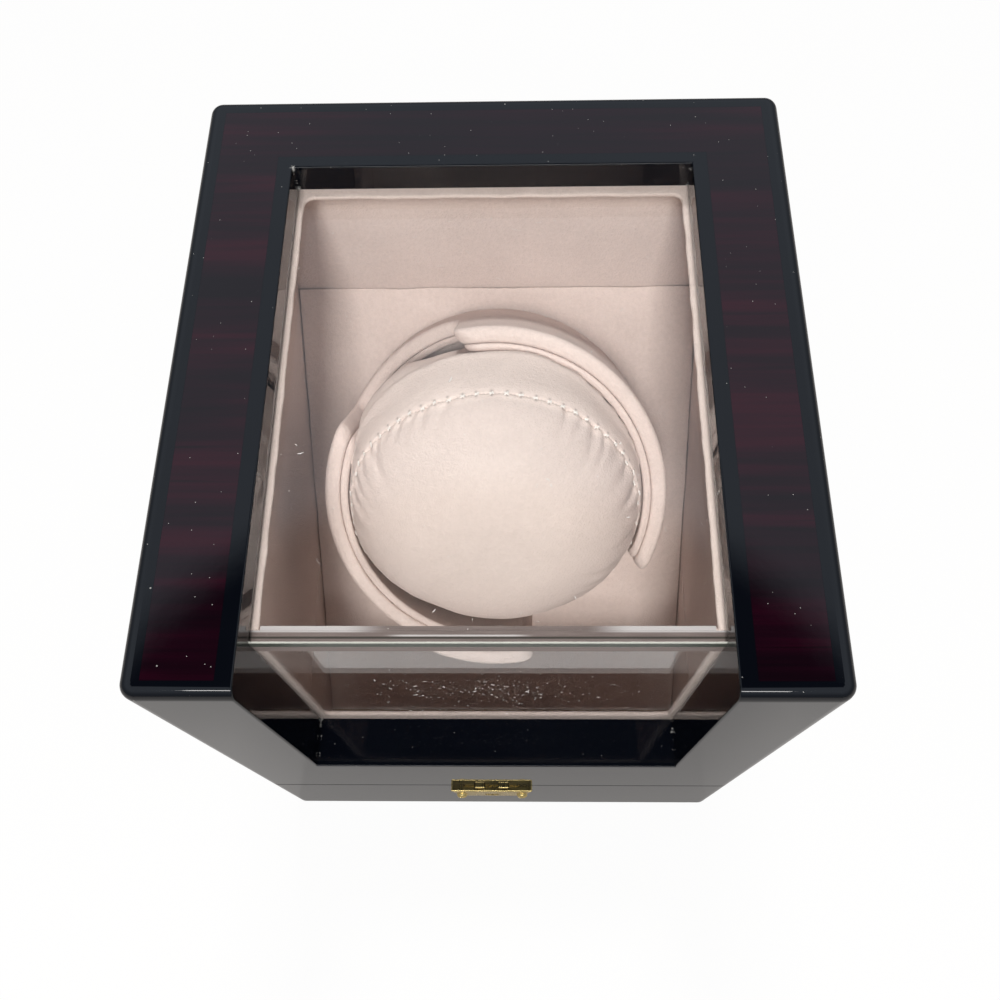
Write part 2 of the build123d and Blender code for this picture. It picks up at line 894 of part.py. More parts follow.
with BuildPart() as drive_gear:
    with BuildSketch(deck_level(gear_low)):
        make_face(gear_edges.edges())
    extrude(amount=gear_face)
    for level, reach in ((gear_top, -gear_web_recess), (gear_low, gear_web_recess)):
        with BuildSketch(deck_level(level)):
            Circle(web_outer)
            Circle(upper_hub_radius, mode=Mode.SUBTRACT)
        extrude(amount=reach, mode=Mode.SUBTRACT)
    with BuildSketch(deck_level(gear_top)):
        Circle(upper_hub_radius)
    extrude(amount=upper_hub_length)
    with BuildSketch(deck_level(gear_low)):
        Circle(lower_hub_radius)
    extrude(amount=-lower_hub_length)
    with BuildSketch(deck_level(gear_top)):
        with PolarLocations(web_hole_circle, web_hole_count):
            Circle(web_hole_radius)
    extrude(amount=-gear_face, mode=Mode.SUBTRACT)
    with BuildSketch(deck_level(gear_low - lower_hub_length)):
        Circle(spindle_radius + fit_clearance)
        with Locations((0, flat_height + fit_clearance)):
            Rectangle(
                2 * spindle_radius, spindle_radius, align=(Align.CENTER, Align.MIN),
                mode=Mode.SUBTRACT,
            )
    extrude(amount=lower_hub_length + gear_face + upper_hub_length, mode=Mode.SUBTRACT)

drive_gear.part.label = "drive_gear"
export_step(drive_gear.part, "parts/drive_gear.step")

with BuildPart() as motor_pinion:
    with BuildSketch(deck_level(gear_low, shaft_distance)):
        make_face(pinion_edges.edges())
        Circle(output_shaft_radius + fit_clearance, mode=Mode.SUBTRACT)
    extrude(amount=gear_face)

motor_pinion.part.label = "motor_pinion"
export_step(motor_pinion.part, "parts/motor_pinion.step")

with BuildPart() as output_shaft:
    with BuildSketch(deck_level(gear_top, shaft_distance)):
        Circle(output_shaft_radius)
    extrude(amount=housing_underside - output_shaft_bite + axial_play - gear_top)

output_shaft.part.label = "output_shaft"
export_step(output_shaft.part, "parts/output_shaft.step")

# Spindle and what holds it
cup_screw_spots = [
    (cup_screw_circle * math.cos(turn), cup_screw_circle * math.sin(turn))
    for turn in (math.pi / 6, math.pi * 5 / 6, -math.pi / 2)
]
clip_low = clip_top - clip_thickness

with BuildPart() as drum_spindle:
    with BuildSketch(deck_level(flange_low)):
        Circle(spindle_flange_radius)
    extrude(amount=spindle_flange_thickness)
    with BuildSketch(deck_level(flange_low)):
        Circle(spindle_radius)
    extrude(amount=spindle_shoulder - flange_low)
    with BuildSketch(deck_level(gear_top + upper_hub_length)):
        with Locations((0, flat_height)):
            Rectangle(2 * spindle_radius, spindle_radius, align=(Align.CENTER, Align.MIN))
    extrude(amount=spindle_shoulder - gear_top - upper_hub_length, mode=Mode.SUBTRACT)
    with BuildSketch(deck_level(spindle_shoulder)):
        Circle(spindle_tail_radius)
    extrude(amount=-spindle_tail_length)
    with BuildSketch(deck_level(clip_top + fit_clearance)):
        Circle(spindle_tail_radius)
        Circle(spindle_tail_radius - groove_depth, mode=Mode.SUBTRACT)
    extrude(amount=-clip_thickness - 2 * fit_clearance, mode=Mode.SUBTRACT)
    plain_holes(
        [deck_level(cup_floor_low, x, y) for x, y in cup_screw_spots],
        machine_screw_radius + fit_clearance,
        spindle_flange_thickness,
    )

drum_spindle.part.label = "drum_spindle"
export_step(drum_spindle.part, "parts/drum_spindle.step")

with BuildPart() as spindle_clip:
    with BuildSketch(deck_level(clip_low)):
        Circle(clip_radius)
        Circle(spindle_tail_radius - groove_depth + fit_clearance, mode=Mode.SUBTRACT)
        Rectangle(clip_mouth, clip_radius, align=(Align.CENTER, Align.MAX), mode=Mode.SUBTRACT)
    extrude(amount=clip_thickness)

spindle_clip.part.label = "spindle_clip"
export_step(spindle_clip.part, "parts/spindle_clip.step")


# Drum
def wall_gap(turn, inset):
    """The gap between the high walls, seen along the radius; an inset widens and deepens it."""
    angle = math.radians(turn)
    outwards = Vector(math.cos(angle), 0, 0) + up_slope * math.sin(angle)
    half = gap_half_width + inset
    low = drum_low_wall_height - inset
    top = drum_rim_height - inset
    low_radius = wall_corner_radius + inset
    top_radius = wall_corner_radius - inset
    above = drum_rim_height + wall_corner_radius
    gap_plane = Plane(origin=drum_foot, x_dir=deck_normal.cross(outwards), z_dir=outwards)
    with BuildSketch(gap_plane) as gap:
        with BuildLine():
            Line((-half, top - top_radius), (-half, low + low_radius))
            CenterArc((low_radius - half, low + low_radius), low_radius, 180, 90)
            Line((low_radius - half, low), (half - low_radius, low))
            CenterArc((half - low_radius, low + low_radius), low_radius, 270, 90)
            Line((half, low + low_radius), (half, top - top_radius))
            CenterArc((half + top_radius, top - top_radius), top_radius, 180, -90)
            Polyline(
                (half + top_radius, top),
                (half + top_radius, above),
                (-half - top_radius, above),
                (-half - top_radius, top),
            )
            CenterArc((-half - top_radius, top - top_radius), top_radius, 90, -90)
        make_face()
    return gap.sketch


def drum_wall(inner, outer, low, inset):
    """A round wall of the drum with its two gaps, as a part of its own."""
    with BuildPart() as wall:
        with BuildSketch(deck_level(low)):
            Circle(outer)
            Circle(inner, mode=Mode.SUBTRACT)
        extrude(amount=drum_rim_height - inset - low)
        for turn in gap_turns:
            extrude(wall_gap(turn, inset), amount=drum_radius + cover_thickness, mode=Mode.SUBTRACT)
    return wall.part


def rim_edges(edges, radius, foot):
    """The edges of a round wall's open rim at a radius, above its foot."""

    def on_rim(edge):
        spots = [edge @ share - drum_foot for share in (0.0, 0.37, 1.0)]
        heights = [spot.dot(deck_normal) for spot in spots]
        offs = [(spot - deck_normal * height).length for spot, height in zip(spots, heights)]
        level_with_wall = all(abs(off - radius) < glue_line for off in offs)
        return level_with_wall and min(heights) > foot + cover_thickness

    return edges.filter_by(on_rim)


cover_blank = drum_wall(rim_seam_radius + rim_groove / 2, drum_radius, drum_foot_gap, 0.0)
cover_room = drum_wall(
    shell_inner, shell_outer + glue_line, drum_foot_gap, rim_lip_height - glue_line
)
lining_blank = drum_wall(cup_radius, rim_seam_radius - rim_groove / 2, cup_floor_top, 0.0)
lining_room = drum_wall(
    shell_inner - glue_line, shell_outer, cup_floor_top, rim_lip_height - glue_line
)
shell_ring = drum_wall(shell_inner, shell_outer, drum_foot_gap, rim_lip_height)

with BuildPart() as cup_cover:
    add(cover_blank)
    fillet(rim_edges(cup_cover.edges(), drum_radius, drum_foot_gap), cover_edge_radius)
    add(cover_room, mode=Mode.SUBTRACT)

cup_cover.part.label = "cup_cover"
export_step(cup_cover.part, "parts/cup_cover.step")

with BuildPart() as cup_lining:
    add(lining_blank)
    add(lining_room, mode=Mode.SUBTRACT)

cup_lining.part.label = "cup_lining"
export_step(cup_lining.part, "parts/cup_lining.step")

with BuildPart() as cup_shell:
    add(shell_ring)
    with BuildSketch(deck_level(cup_floor_low)):
        Circle(rim_seam_radius)
    extrude(amount=cup_floor_thickness)
    sunk_holes(
        [deck_level(cup_floor_top, x, y) for x, y in cup_screw_spots],
        machine_screw_radius,
        machine_screw_head,
        cup_floor_thickness,
    )

cup_shell.part.label = "cup_shell"
export_step(cup_shell.part, "parts/cup_shell.step")

with BuildPart() as cup_screws:
    countersunk_screws(
        [deck_level(cup_floor_top, x, y) for x, y in cup_screw_spots],
        machine_screw_radius,
        machine_screw_head,
        cup_screw_length,
    )

cup_screws.part.label = "cup_screws"
export_step(cup_screws.part, "parts/cup_screws.step")

with BuildPart() as cup_floor_pad:
    with BuildSketch(deck_level(cup_floor_top)):
        Circle(cup_radius - glue_line)
    extrude(amount=floor_pad_thickness)

cup_floor_pad.part.label = "cup_floor_pad"
export_step(cup_floor_pad.part, "parts/cup_floor_pad.step")

# Cushion: a sewn, domed drum tilted forward in the cup, trimmed to the cup's own round room
turn = math.radians(cushion_tilt)
cushion_axis = deck_normal * math.cos(turn) - up_slope * math.sin(turn)
seam_centre = slope_point(0, -seam_ring_drop, drum_rim_height + seam_ring_rise)
cushion_profile_plane = Plane(
    origin=seam_centre, x_dir=(1, 0, 0), z_dir=Vector(1, 0, 0).cross(cushion_axis)
)
seam_floor = seam_ring_radius - sewn_channel
crown_shoulder = (crown_shoulder_radius, crown_shoulder_rise)
side_start = (sewn_channel, -2 * sewn_channel_reach)
side_radius = seam_ring_radius + cushion_bulge
side_depth = cushion_crown / 2

with BuildPart() as cushion_room:
    with BuildSketch(deck_level(pad_top + cushion_gap)):
        Circle(cushion_room_radius)
    extrude(amount=drum_rim_height + seam_ring_radius)

with BuildPart() as cushion:
    with BuildSketch(cushion_profile_plane):
        with BuildLine():
            Line((0, -cushion_length), (0, cushion_crown))
            crown = TangentArc((0, cushion_crown), crown_shoulder, tangent=(1, 0))
            TangentArc(crown_shoulder, (seam_ring_radius, sewn_channel_reach), tangent=crown % 1)
            Polyline(
                (seam_ring_radius, sewn_channel_reach),
                (seam_floor, 0),
                (seam_ring_radius, -sewn_channel_reach),
            )
            TangentArc(
                (seam_ring_radius, -sewn_channel_reach),
                (side_radius, -side_depth),
                tangent=side_start,
            )
            Polyline(
                (side_radius, -side_depth),
                (side_radius, cushion_back_slope - cushion_length),
                (side_radius - cushion_back_slope, -cushion_length),
                (0, -cushion_length),
            )
        make_face()
    revolve(axis=Axis(seam_centre, cushion_axis))
    add(cushion_room.part, mode=Mode.INTERSECT)

cushion.part.label = "cushion"
export_step(cushion.part, "parts/cushion.step")

# Electrics
with BuildPart() as dc_jack:
    with BuildSketch(jack_place):
        Circle(jack_flange_radius)
    extrude(amount=jack_flange_thickness)
    with BuildSketch(jack_place):
        Circle(jack_radius)
    extrude(amount=-jack_length)
    plain_holes([jack_place.offset(jack_flange_thickness)], jack_bore_radius, jack_bore_depth)
    with BuildSketch(jack_place.offset(jack_flange_thickness - jack_bore_depth)):
        Circle(jack_pin_radius)
    extrude(amount=jack_bore_depth - jack_flange_thickness)

dc_jack.part.label = "dc_jack"
export_step(dc_jack.part, "parts/dc_jack.step")

with BuildPart() as jack_nut:
    with BuildSketch(jack_place.offset(-rear_web)):
        RegularPolygon(jack_nut_width / 2, 6, major_radius=False)
        Circle(jack_radius + fit_clearance, mode=Mode.SUBTRACT)
    extrude(amount=-nut_thickness)

jack_nut.part.label = "jack_nut"
export_step(jack_nut.part, "parts/jack_nut.step")

with BuildPart() as selector_switch:
    with BuildSketch(selector_place.offset(-rear_web)):
        RectangleRounded(selector_body, selector_body, selector_corner_radius)
    extrude(amount=-selector_body_depth)
    with BuildSketch(selector_place.offset(-rear_web)):
        Circle(selector_bush_radius)
    extrude(amount=rear_web + nut_thickness)
    plain_holes(
        [selector_place.offset(nut_thickness)],
        selector_shaft_radius + running_clearance,
        selector_bore_depth,
    )

selector_switch.part.label = "selector_switch"
export_step(selector_switch.part, "parts/selector_switch.step")

with BuildPart() as selector_nut:
    with BuildSketch(selector_place):
        RegularPolygon(selector_nut_width / 2, 6, major_radius=False)
        Circle(selector_bush_radius + fit_clearance, mode=Mode.SUBTRACT)
    extrude(amount=nut_thickness)

selector_nut.part.label = "selector_nut"
export_step(selector_nut.part, "parts/selector_nut.step")

shaft_end = knob_standoff + knob_grip

with BuildPart() as selector_shaft:
    with BuildSketch(selector_place.offset(shaft_end)):
        Circle(selector_shaft_radius)
    extrude(amount=-selector_shaft_length)

selector_shaft.part.label = "selector_shaft"
export_step(selector_shaft.part, "parts/selector_shaft.step")

with BuildPart() as selector_knob:
    with BuildSketch(selector_place.offset(knob_standoff)):
        Circle(knob_radius)
    extrude(amount=knob_length)
    chamfer(selector_knob.edges().sort_by(Axis.Y)[-1], knob_edge_radius)
    plain_holes(
        [selector_place.offset(shaft_end)], selector_shaft_radius + fit_clearance, shaft_end
    )
    plain_holes(
        [selector_place.offset(nut_thickness + knob_standoff)],
        knob_room_radius,
        nut_thickness + knob_standoff,
    )
    with BuildSketch(selector_place.offset(knob_standoff + knob_length)):
        with Locations((0, pointer_offset)):
            RectangleRounded(pointer_width, pointer_length, pointer_corner)
    extrude(amount=-pointer_depth, mode=Mode.SUBTRACT)
    with BuildSketch(selector_place.offset(knob_standoff)):
        with PolarLocations(knob_radius + knob_flute / 2, knob_flutes, start_angle=knob_turn):
            Circle(knob_flute)
    extrude(amount=knob_length - knob_edge_radius, mode=Mode.SUBTRACT)

selector_knob.part.label = "selector_knob"
export_step(selector_knob.part, "parts/selector_knob.step")

board_low = floor_level + board_rise
board_screw_spots = [
    (board_across + side * (board_width / 2 - board_hole_margin), along)
    for side in (-1, 1)
    for along in (
        board_along - board_depth / 2 + board_hole_margin,
        board_along + board_depth / 2 - board_hole_margin,
    )
]
board_surface = Plane(origin=(board_across, board_along, board_low + board_thickness))

with BuildPart() as circuit_board:
    with BuildSketch(Plane(origin=(board_across, board_along, board_low))):
        RectangleRounded(board_width, board_depth, board_corner_radius)
    extrude(amount=board_thickness)
    with BuildSketch(board_surface):
        with Locations(driver_chip_place):
            Rectangle(*driver_chip)
        with Locations(timer_chip_place):
            Rectangle(*timer_chip)
    extrude(amount=chip_height)
    with BuildSketch(board_surface):
        with Locations(*connector_places):
            Rectangle(*connector)
    extrude(amount=connector_height)
    with BuildSketch(board_surface):
        with Locations(*capacitor_places):
            Circle(capacitor_radius)
    extrude(amount=capacitor_height)
    plain_holes(
        [facing(x, y, board_low + board_thickness, (0, 0, 1)) for x, y in board_screw_spots],
        machine_screw_radius + fit_clearance,
        2 * board_thickness,
    )

circuit_board.part.label = "circuit_board"
export_step(circuit_board.part, "parts/circuit_board.step")

with BuildPart() as board_standoffs:
    with BuildSketch(Plane.XY.offset(floor_level)):
        with Locations(*board_screw_spots):
            Circle(standoff_radius)
            Circle(machine_screw_radius + fit_clearance, mode=Mode.SUBTRACT)
    extrude(amount=board_rise)

board_standoffs.part.label = "board_standoffs"
export_step(board_standoffs.part, "parts/board_standoffs.step")

with BuildPart() as board_screws:
    pan_screws(
        [facing(x, y, board_low + board_thickness, (0, 0, 1)) for x, y in board_screw_spots],
        machine_screw_radius,
        machine_screw_head,
        board_screw_length,
    )

board_screws.part.label = "board_screws"
export_step(board_screws.part, "parts/board_screws.step")


# Hinges
def hinge_leaves(low, high, knuckles, notch_low, notch_high, bore):
    """Leaves between two heights with their knuckles, one set for each hinge."""
    for centre in hinge_centres:
        corner_box(
            (centre - hinge_length / 2, hinge_leaf_front, low),
            (centre + hinge_length / 2, hinge_axis_y, high),
        )
        for first, last in notch_low, notch_high:
            if last > first:
                corner_box(
                    (centre + first, hinge_axis_y - hinge_barrel_radius - hinge_play, low),
                    (centre + last, hinge_axis_y, high),
                    mode=Mode.SUBTRACT,
                )
        for first, last in knuckles:
            with BuildSketch(Plane.YZ.offset(centre + first)) as end:
                with Locations((hinge_axis_y, seam_height)):
                    Circle(hinge_barrel_radius)
            extrude(end.sketch, amount=last - first)
            with BuildSketch(Plane.YZ.offset(centre + first)) as hole:
                with Locations((hinge_axis_y, seam_height)):
                    Circle(bore)
            extrude(hole.sketch, amount=last - first, mode=Mode.SUBTRACT)


half_hinge = hinge_length / 2
half_middle = hinge_middle_knuckle / 2
outer_start = half_hinge - hinge_outer_knuckle

with BuildPart() as lower_hinge_leaves:
    hinge_leaves(
        lower_leaf_top - hinge_leaf,
        lower_leaf_top,
        ((-half_hinge, -outer_start), (outer_start, half_hinge)),
        (-outer_start, outer_start),
        (0, 0),
        hinge_pin_radius + fit_clearance,
    )
    sunk_holes(lower_hinge_places, wood_screw_radius, wood_screw_head, 2 * hinge_leaf)

lower_hinge_leaves.part.label = "lower_hinge_leaves"
export_step(lower_hinge_leaves.part, "parts/lower_hinge_leaves.step")

upper_hinge_places = [
    facing(centre + shift, hinge_screw_y, upper_leaf_low, (0, 0, -1))
    for centre in hinge_centres
    for shift in hinge_screw_shifts
]

with BuildPart() as upper_hinge_leaves:
    hinge_leaves(
        upper_leaf_low,
        upper_leaf_low + hinge_leaf,
        ((-half_middle, half_middle),),
        (-half_hinge, -half_middle),
        (half_middle, half_hinge),
        hinge_pin_radius + running_clearance,
    )
    sunk_holes(upper_hinge_places, wood_screw_radius, wood_screw_head, 2 * hinge_leaf)

upper_hinge_leaves.part.label = "upper_hinge_leaves"
export_step(upper_hinge_leaves.part, "parts/upper_hinge_leaves.step")

with BuildPart() as hinge_pins:
    for centre in hinge_centres:
        with BuildSketch(Plane.YZ.offset(centre - half_hinge)):
            with Locations((hinge_axis_y, seam_height)):
                Circle(hinge_pin_radius)
        extrude(amount=hinge_length)

hinge_pins.part.label = "hinge_pins"
export_step(hinge_pins.part, "parts/hinge_pins.step")

with BuildPart() as lower_hinge_screws:
    countersunk_screws(
        lower_hinge_places, wood_screw_radius, wood_screw_head, hinge_screw_length
    )

lower_hinge_screws.part.label = "lower_hinge_screws"
export_step(lower_hinge_screws.part, "parts/lower_hinge_screws.step")

with BuildPart() as upper_hinge_screws:
    countersunk_screws(
        upper_hinge_places, wood_screw_radius, wood_screw_head, hinge_screw_length
    )

upper_hinge_screws.part.label = "upper_hinge_screws"
export_step(upper_hinge_screws.part, "parts/upper_hinge_screws.step")

# Catch
prong_front = front_face - prong_play - prong_thickness

with BuildPart() as catch_body:
    with BuildSketch(facing(catch_offset, front_face, 0, (0, -1, 0))) as catch_outline:
        with BuildLine():
            Polyline(
                (-catch_width / 2, catch_top),
                (-catch_foot_width / 2, catch_low),
                (catch_foot_width / 2, catch_low),
                (catch_width / 2, catch_top),
                close=True,
            )
        make_face()
        fillet(catch_outline.vertices().group_by(Axis.Y)[0], catch_corner_radius)
        fillet(catch_outline.vertices().group_by(Axis.Y)[-1], catch_edge_radius)
    extrude(amount=catch_thickness)
    fillet(catch_body.faces().sort_by(Axis.Y)[0].edges(), catch_edge_radius)
    corner_box(
        (
            catch_offset - catch_pocket_width / 2,
            catch_front + catch_skin,
            catch_pocket_low,
        ),
        (catch_offset + catch_pocket_width / 2, front_face, catch_pocket_high),
        mode=Mode.SUBTRACT,
    )
    for place in prong_places:
        corner_box(
            (place - prong_width / 2 - prong_play, prong_front - prong_play, catch_pocket_high),
            (place + prong_width / 2 + prong_play, front_face, catch_top),
            mode=Mode.SUBTRACT,
        )
    with Locations(button_place.offset(catch_thickness)):
        Hole(button_radius + button_play, catch_thickness)
    plain_holes(
        [facing(x, catch_front, catch_screw_height, (0, -1, 0)) for x in catch_screw_places],
        wood_screw_radius + fit_clearance,
        catch_thickness,
    )

catch_body.part.label = "catch_body"
export_step(catch_body.part, "parts/catch_body.step")

dome_sphere = (dome_radius**2 + dome_height**2) / (2 * dome_height)

with BuildPart() as catch_screws:
    for place in catch_screw_places:
        head_plane = facing(place, catch_front, catch_screw_height, (0, 0, 1))
        with BuildSketch(head_plane):
            with BuildLine():
                Polyline(
                    (0, -dome_height),
                    (0, catch_screw_length),
                    (wood_screw_radius, catch_screw_length),
                    (wood_screw_radius, 0),
                    (dome_radius, 0),
                )
                RadiusArc((dome_radius, 0), (0, -dome_height), dome_sphere)
            make_face()
        revolve(axis=Axis((place, catch_front, catch_screw_height), (0, 1, 0)))

catch_screws.part.label = "catch_screws"
export_step(catch_screws.part, "parts/catch_screws.step")

bar_front = catch_front + catch_skin + button_play

with BuildPart() as push_button:
    with BuildSketch(facing(catch_offset, bar_front, button_height, (0, -1, 0))):
        Circle(button_radius)
    extrude(amount=catch_skin + button_play - button_recess)
    with BuildSketch(facing(catch_offset, bar_front, button_height, (0, -1, 0))):
        RectangleRounded(button_bar_width, button_bar_height, button_bar_corner)
    extrude(amount=-button_bar_thickness)
    with BuildSketch(
        facing(catch_offset, bar_front + button_bar_thickness, button_height, (0, 1, 0))
    ):
        Circle(button_stem_radius)
    extrude(amount=button_stem_length)

push_button.part.label = "push_button"
export_step(push_button.part, "parts/push_button.step")

spring_seat = front_face + spring_room_depth - spring_wire_radius - glue_line
half_turns = 2 * spring_turns

with BuildPart() as catch_spring:
    with BuildLine():
        for half in range(half_turns):
            spots = [
                (
                    catch_offset + spring_radius * math.cos(math.pi * share),
                    spring_seat - spring_length * share / half_turns,
                    button_height + spring_radius * math.sin(math.pi * share),
                )
                for share in (half, half + 0.5, half + 1)
            ]
            ThreePointArc(*spots)
    with BuildSketch(facing(catch_offset + spring_radius, spring_seat, button_height, (0, 0, 1))):
        RegularPolygon(spring_wire_radius, 6)
    sweep()

catch_spring.part.label = "catch_spring"
export_step(catch_spring.part, "parts/catch_spring.step")

hook_plate_rear = front_face + hook_plate_depth
hook_places = [
    facing(x, hook_plate_rear - hook_screw_setback, lid_bottom, (0, 0, -1))
    for x in hook_screw_places
]

with BuildPart() as hook_plate:
    corner_box(
        (catch_offset - hook_plate_width / 2, front_face + glue_line, lid_bottom),
        (
            catch_offset + hook_plate_width / 2,
            hook_plate_rear,
            lid_bottom + hook_plate_thickness,
        ),
    )
    for place in prong_places:
        corner_box(
            (place - prong_width / 2, prong_front, lid_bottom),
            (
                place + prong_width / 2,
                front_face + glue_line,
                lid_bottom + hook_plate_thickness,
            ),
        )
        corner_box(
            (place - prong_width / 2, prong_front, prong_tip),
            (place + prong_width / 2, prong_front + prong_thickness, lid_bottom),
        )
        with BuildSketch(facing(place, prong_front, prong_tip, (0, -1, 0))) as prong_window:
            with Locations((0, prong_width / 2)):
                RectangleRounded(prong_window_width, prong_window_height, prong_window_corner)
        extrude(prong_window.sketch, amount=-prong_thickness, mode=Mode.SUBTRACT)
    fillet(hook_plate.edges().filter_by(Axis.Y).group_by(Axis.Z)[0], prong_corner_radius)
    fillet(
        hook_plate.edges().filter_by(Axis.X).filter_by_position(
            Axis.Y, prong_front - glue_line, prong_front + glue_line
        ).group_by(Axis.Z)[-1],
        prong_bend_radius,
    )
    sunk_holes(hook_places, wood_screw_radius, wood_screw_head, 2 * hook_plate_thickness)

hook_plate.part.label = "hook_plate"
export_step(hook_plate.part, "parts/hook_plate.step")

with BuildPart() as hook_screws:
    countersunk_screws(hook_places, wood_screw_radius, wood_screw_head, hook_screw_length)

hook_screws.part.label = "hook_screws"
export_step(hook_screws.part, "parts/hook_screws.step")

# Lid
inlay_low = case_height - inlay_thickness


def inlay_outline(level, play):
    """The U of the inlay on a level, drawn in by a play on every side."""
    half = case_width / 2 - inlay_border
    with BuildSketch(Plane.XY.offset(level)) as outline:
        with BuildLine():
            Polyline(
                (play - half, front_face + inlay_front_setback + play),
                (play - half, rear_face - inlay_border - play),
                (half - play, rear_face - inlay_border - play),
                (half - play, front_face + inlay_front_setback + play),
                (half - inlay_band + play, front_face + inlay_front_setback + play),
                (half - inlay_band + play, rear_face - inlay_border - inlay_band + play),
                (inlay_band - half - play, rear_face - inlay_border - inlay_band + play),
                (inlay_band - half - play, front_face + inlay_front_setback + play),
                close=True,
            )
        make_face()
    return outline.sketch


with BuildPart() as lid_frame:
    with BuildSketch(Plane.XY.offset(lid_bottom)):
        RectangleRounded(case_width, case_depth, corner_radius)
    extrude(amount=case_height - lid_bottom)
    chamfer(lid_frame.edges().group_by(Axis.Z)[0], arris)
    fillet(lid_frame.edges().group_by(Axis.Z)[-1], top_edge_radius)
    corner_box(
        (-cavity_half_width, cavity_front, lid_bottom),
        (cavity_half_width, cavity_rear, top_pane_top),
        mode=Mode.SUBTRACT,
    )
    corner_box(
        (-window_half_width, front_face, window_bottom),
        (window_half_width, window_rear, case_height),
        mode=Mode.SUBTRACT,
    )
    window_edges = lid_frame.edges().filter_by(
        lambda edge: abs(abs((edge @ 0.5).X) - window_half_width) < glue_line
        or abs((edge @ 0.5).Y - window_rear) < glue_line
        or abs((edge @ 0.5).Z - window_bottom) < glue_line
    )
    outer_window_edges = window_edges.filter_by(
        lambda edge: (edge @ 0.5).Z > case_height - top_edge_radius
        or (edge @ 0.5).Y < front_face + top_edge_radius / 2
    )
    fillet(outer_window_edges, arris)
    extrude(inlay_outline(inlay_low, 0.0), amount=inlay_thickness, mode=Mode.SUBTRACT)
    for centre in hinge_centres:
        corner_box(
            (
                centre - hinge_length / 2 - fit_clearance,
                hinge_leaf_front - fit_clearance,
                lid_bottom,
            ),
            (
                centre + hinge_length / 2 + fit_clearance,
                rear_face,
                upper_leaf_low + hinge_leaf,
            ),
            mode=Mode.SUBTRACT,
        )
    plain_holes(
        upper_hinge_places, wood_screw_radius + fit_clearance, hinge_screw_length + board_play
    )
    corner_box(
        (catch_offset - hook_plate_width / 2 - fit_clearance, front_face, lid_bottom),
        (
            catch_offset + hook_plate_width / 2 + fit_clearance,
            hook_plate_rear + fit_clearance,
            lid_bottom + hook_plate_thickness,
        ),
        mode=Mode.SUBTRACT,
    )
    plain_holes(hook_places, wood_screw_radius + fit_clearance, hook_screw_length + board_play)

lid_frame.part.label = "lid_frame"
export_step(lid_frame.part, "parts/lid_frame.step")

with BuildPart() as veneer_inlay:
    extrude(inlay_outline(inlay_low, glue_line), amount=inlay_thickness)

veneer_inlay.part.label = "veneer_inlay"
export_step(veneer_inlay.part, "parts/veneer_inlay.step")

with BuildPart() as top_pane:
    corner_box(
        (-pane_half_width, cavity_front, top_pane_bottom),
        (pane_half_width, pane_rear, top_pane_top - glass_bed),
    )
    chamfer(top_pane.edges(), glass_arris)

top_pane.part.label = "top_pane"
export_step(top_pane.part, "parts/top_pane.step")

with BuildPart() as front_pane:
    corner_box(
        (-pane_half_width, cavity_front + glass_bed, pane_bottom),
        (pane_half_width, front_pane_rear, top_pane_bottom - glass_bed),
    )
    chamfer(front_pane.edges(), glass_arris)

front_pane.part.label = "front_pane"
export_step(front_pane.part, "parts/front_pane.step")

strip_outer = cavity_half_width - board_play
strip_inner = pane_half_width + board_play

with BuildPart() as packing_strips:
    corner_box(
        (-strip_outer, cavity_front + glue_line, lining_low),
        (strip_outer, front_pane_rear - glue_line, pane_bottom - board_play),
    )
    corner_box(
        (-pane_half_width, pane_rear + board_play, top_pane_bottom + glue_line),
        (pane_half_width, cavity_rear - glue_line, top_pane_top - glue_line),
    )
    for side in (-1, 1):
        inner, outer = sorted((side * strip_inner, side * strip_outer))
        corner_box(
            (inner, cavity_front + glue_line, pane_bottom),
            (outer, front_pane_rear - glue_line, top_pane_bottom - glue_line),
        )
        corner_box(
            (inner, cavity_front + glue_line, top_pane_bottom + glue_line),
            (outer, cavity_rear - glue_line, top_pane_top - glue_line),
        )

packing_strips.part.label = "packing_strips"
export_step(packing_strips.part, "parts/packing_strips.step")

with BuildPart() as lid_back_lining:
    corner_box(
        (glue_line - cavity_half_width, lined_rear, lining_low),
        (cavity_half_width - glue_line, cavity_rear - glue_line, lining_high),
    )

lid_back_lining.part.label = "lid_back_lining"
export_step(lid_back_lining.part, "parts/lid_back_lining.step")

for side, name in ((-1, "lid_left_lining"), (1, "lid_right_lining")):
    inner, outer = sorted((side * lined_half_width, side * (cavity_half_width - glue_line)))
    with BuildPart() as side_lining:
        corner_box(
            (inner, front_pane_rear, lining_low), (outer, lined_rear - glue_line, lining_high)
        )
    side_lining.part.label = name
    export_step(side_lining.part, f"parts/{name}.step")

with BuildPart() as lid_ceiling_lining:
    corner_box(
        (glue_line - cavity_half_width, front_pane_rear, lined_ceiling),
        (cavity_half_width - glue_line, cavity_rear - glue_line, top_pane_bottom - glue_line),
    )
    corner_box(
        (-lip_half_width, front_pane_rear, lined_ceiling),
        (lip_half_width, lip_rear, top_pane_bottom),
        mode=Mode.SUBTRACT,
    )
    fillet(
        lid_ceiling_lining.edges().filter_by(Axis.Z).filter_by_position(
            Axis.Y, lip_rear - glue_line, lip_rear + glue_line
        ),
        lip_corner_radius,
    )

lid_ceiling_lining.part.label = "lid_ceiling_lining"
export_step(lid_ceiling_lining.part, "parts/lid_ceiling_lining.step")

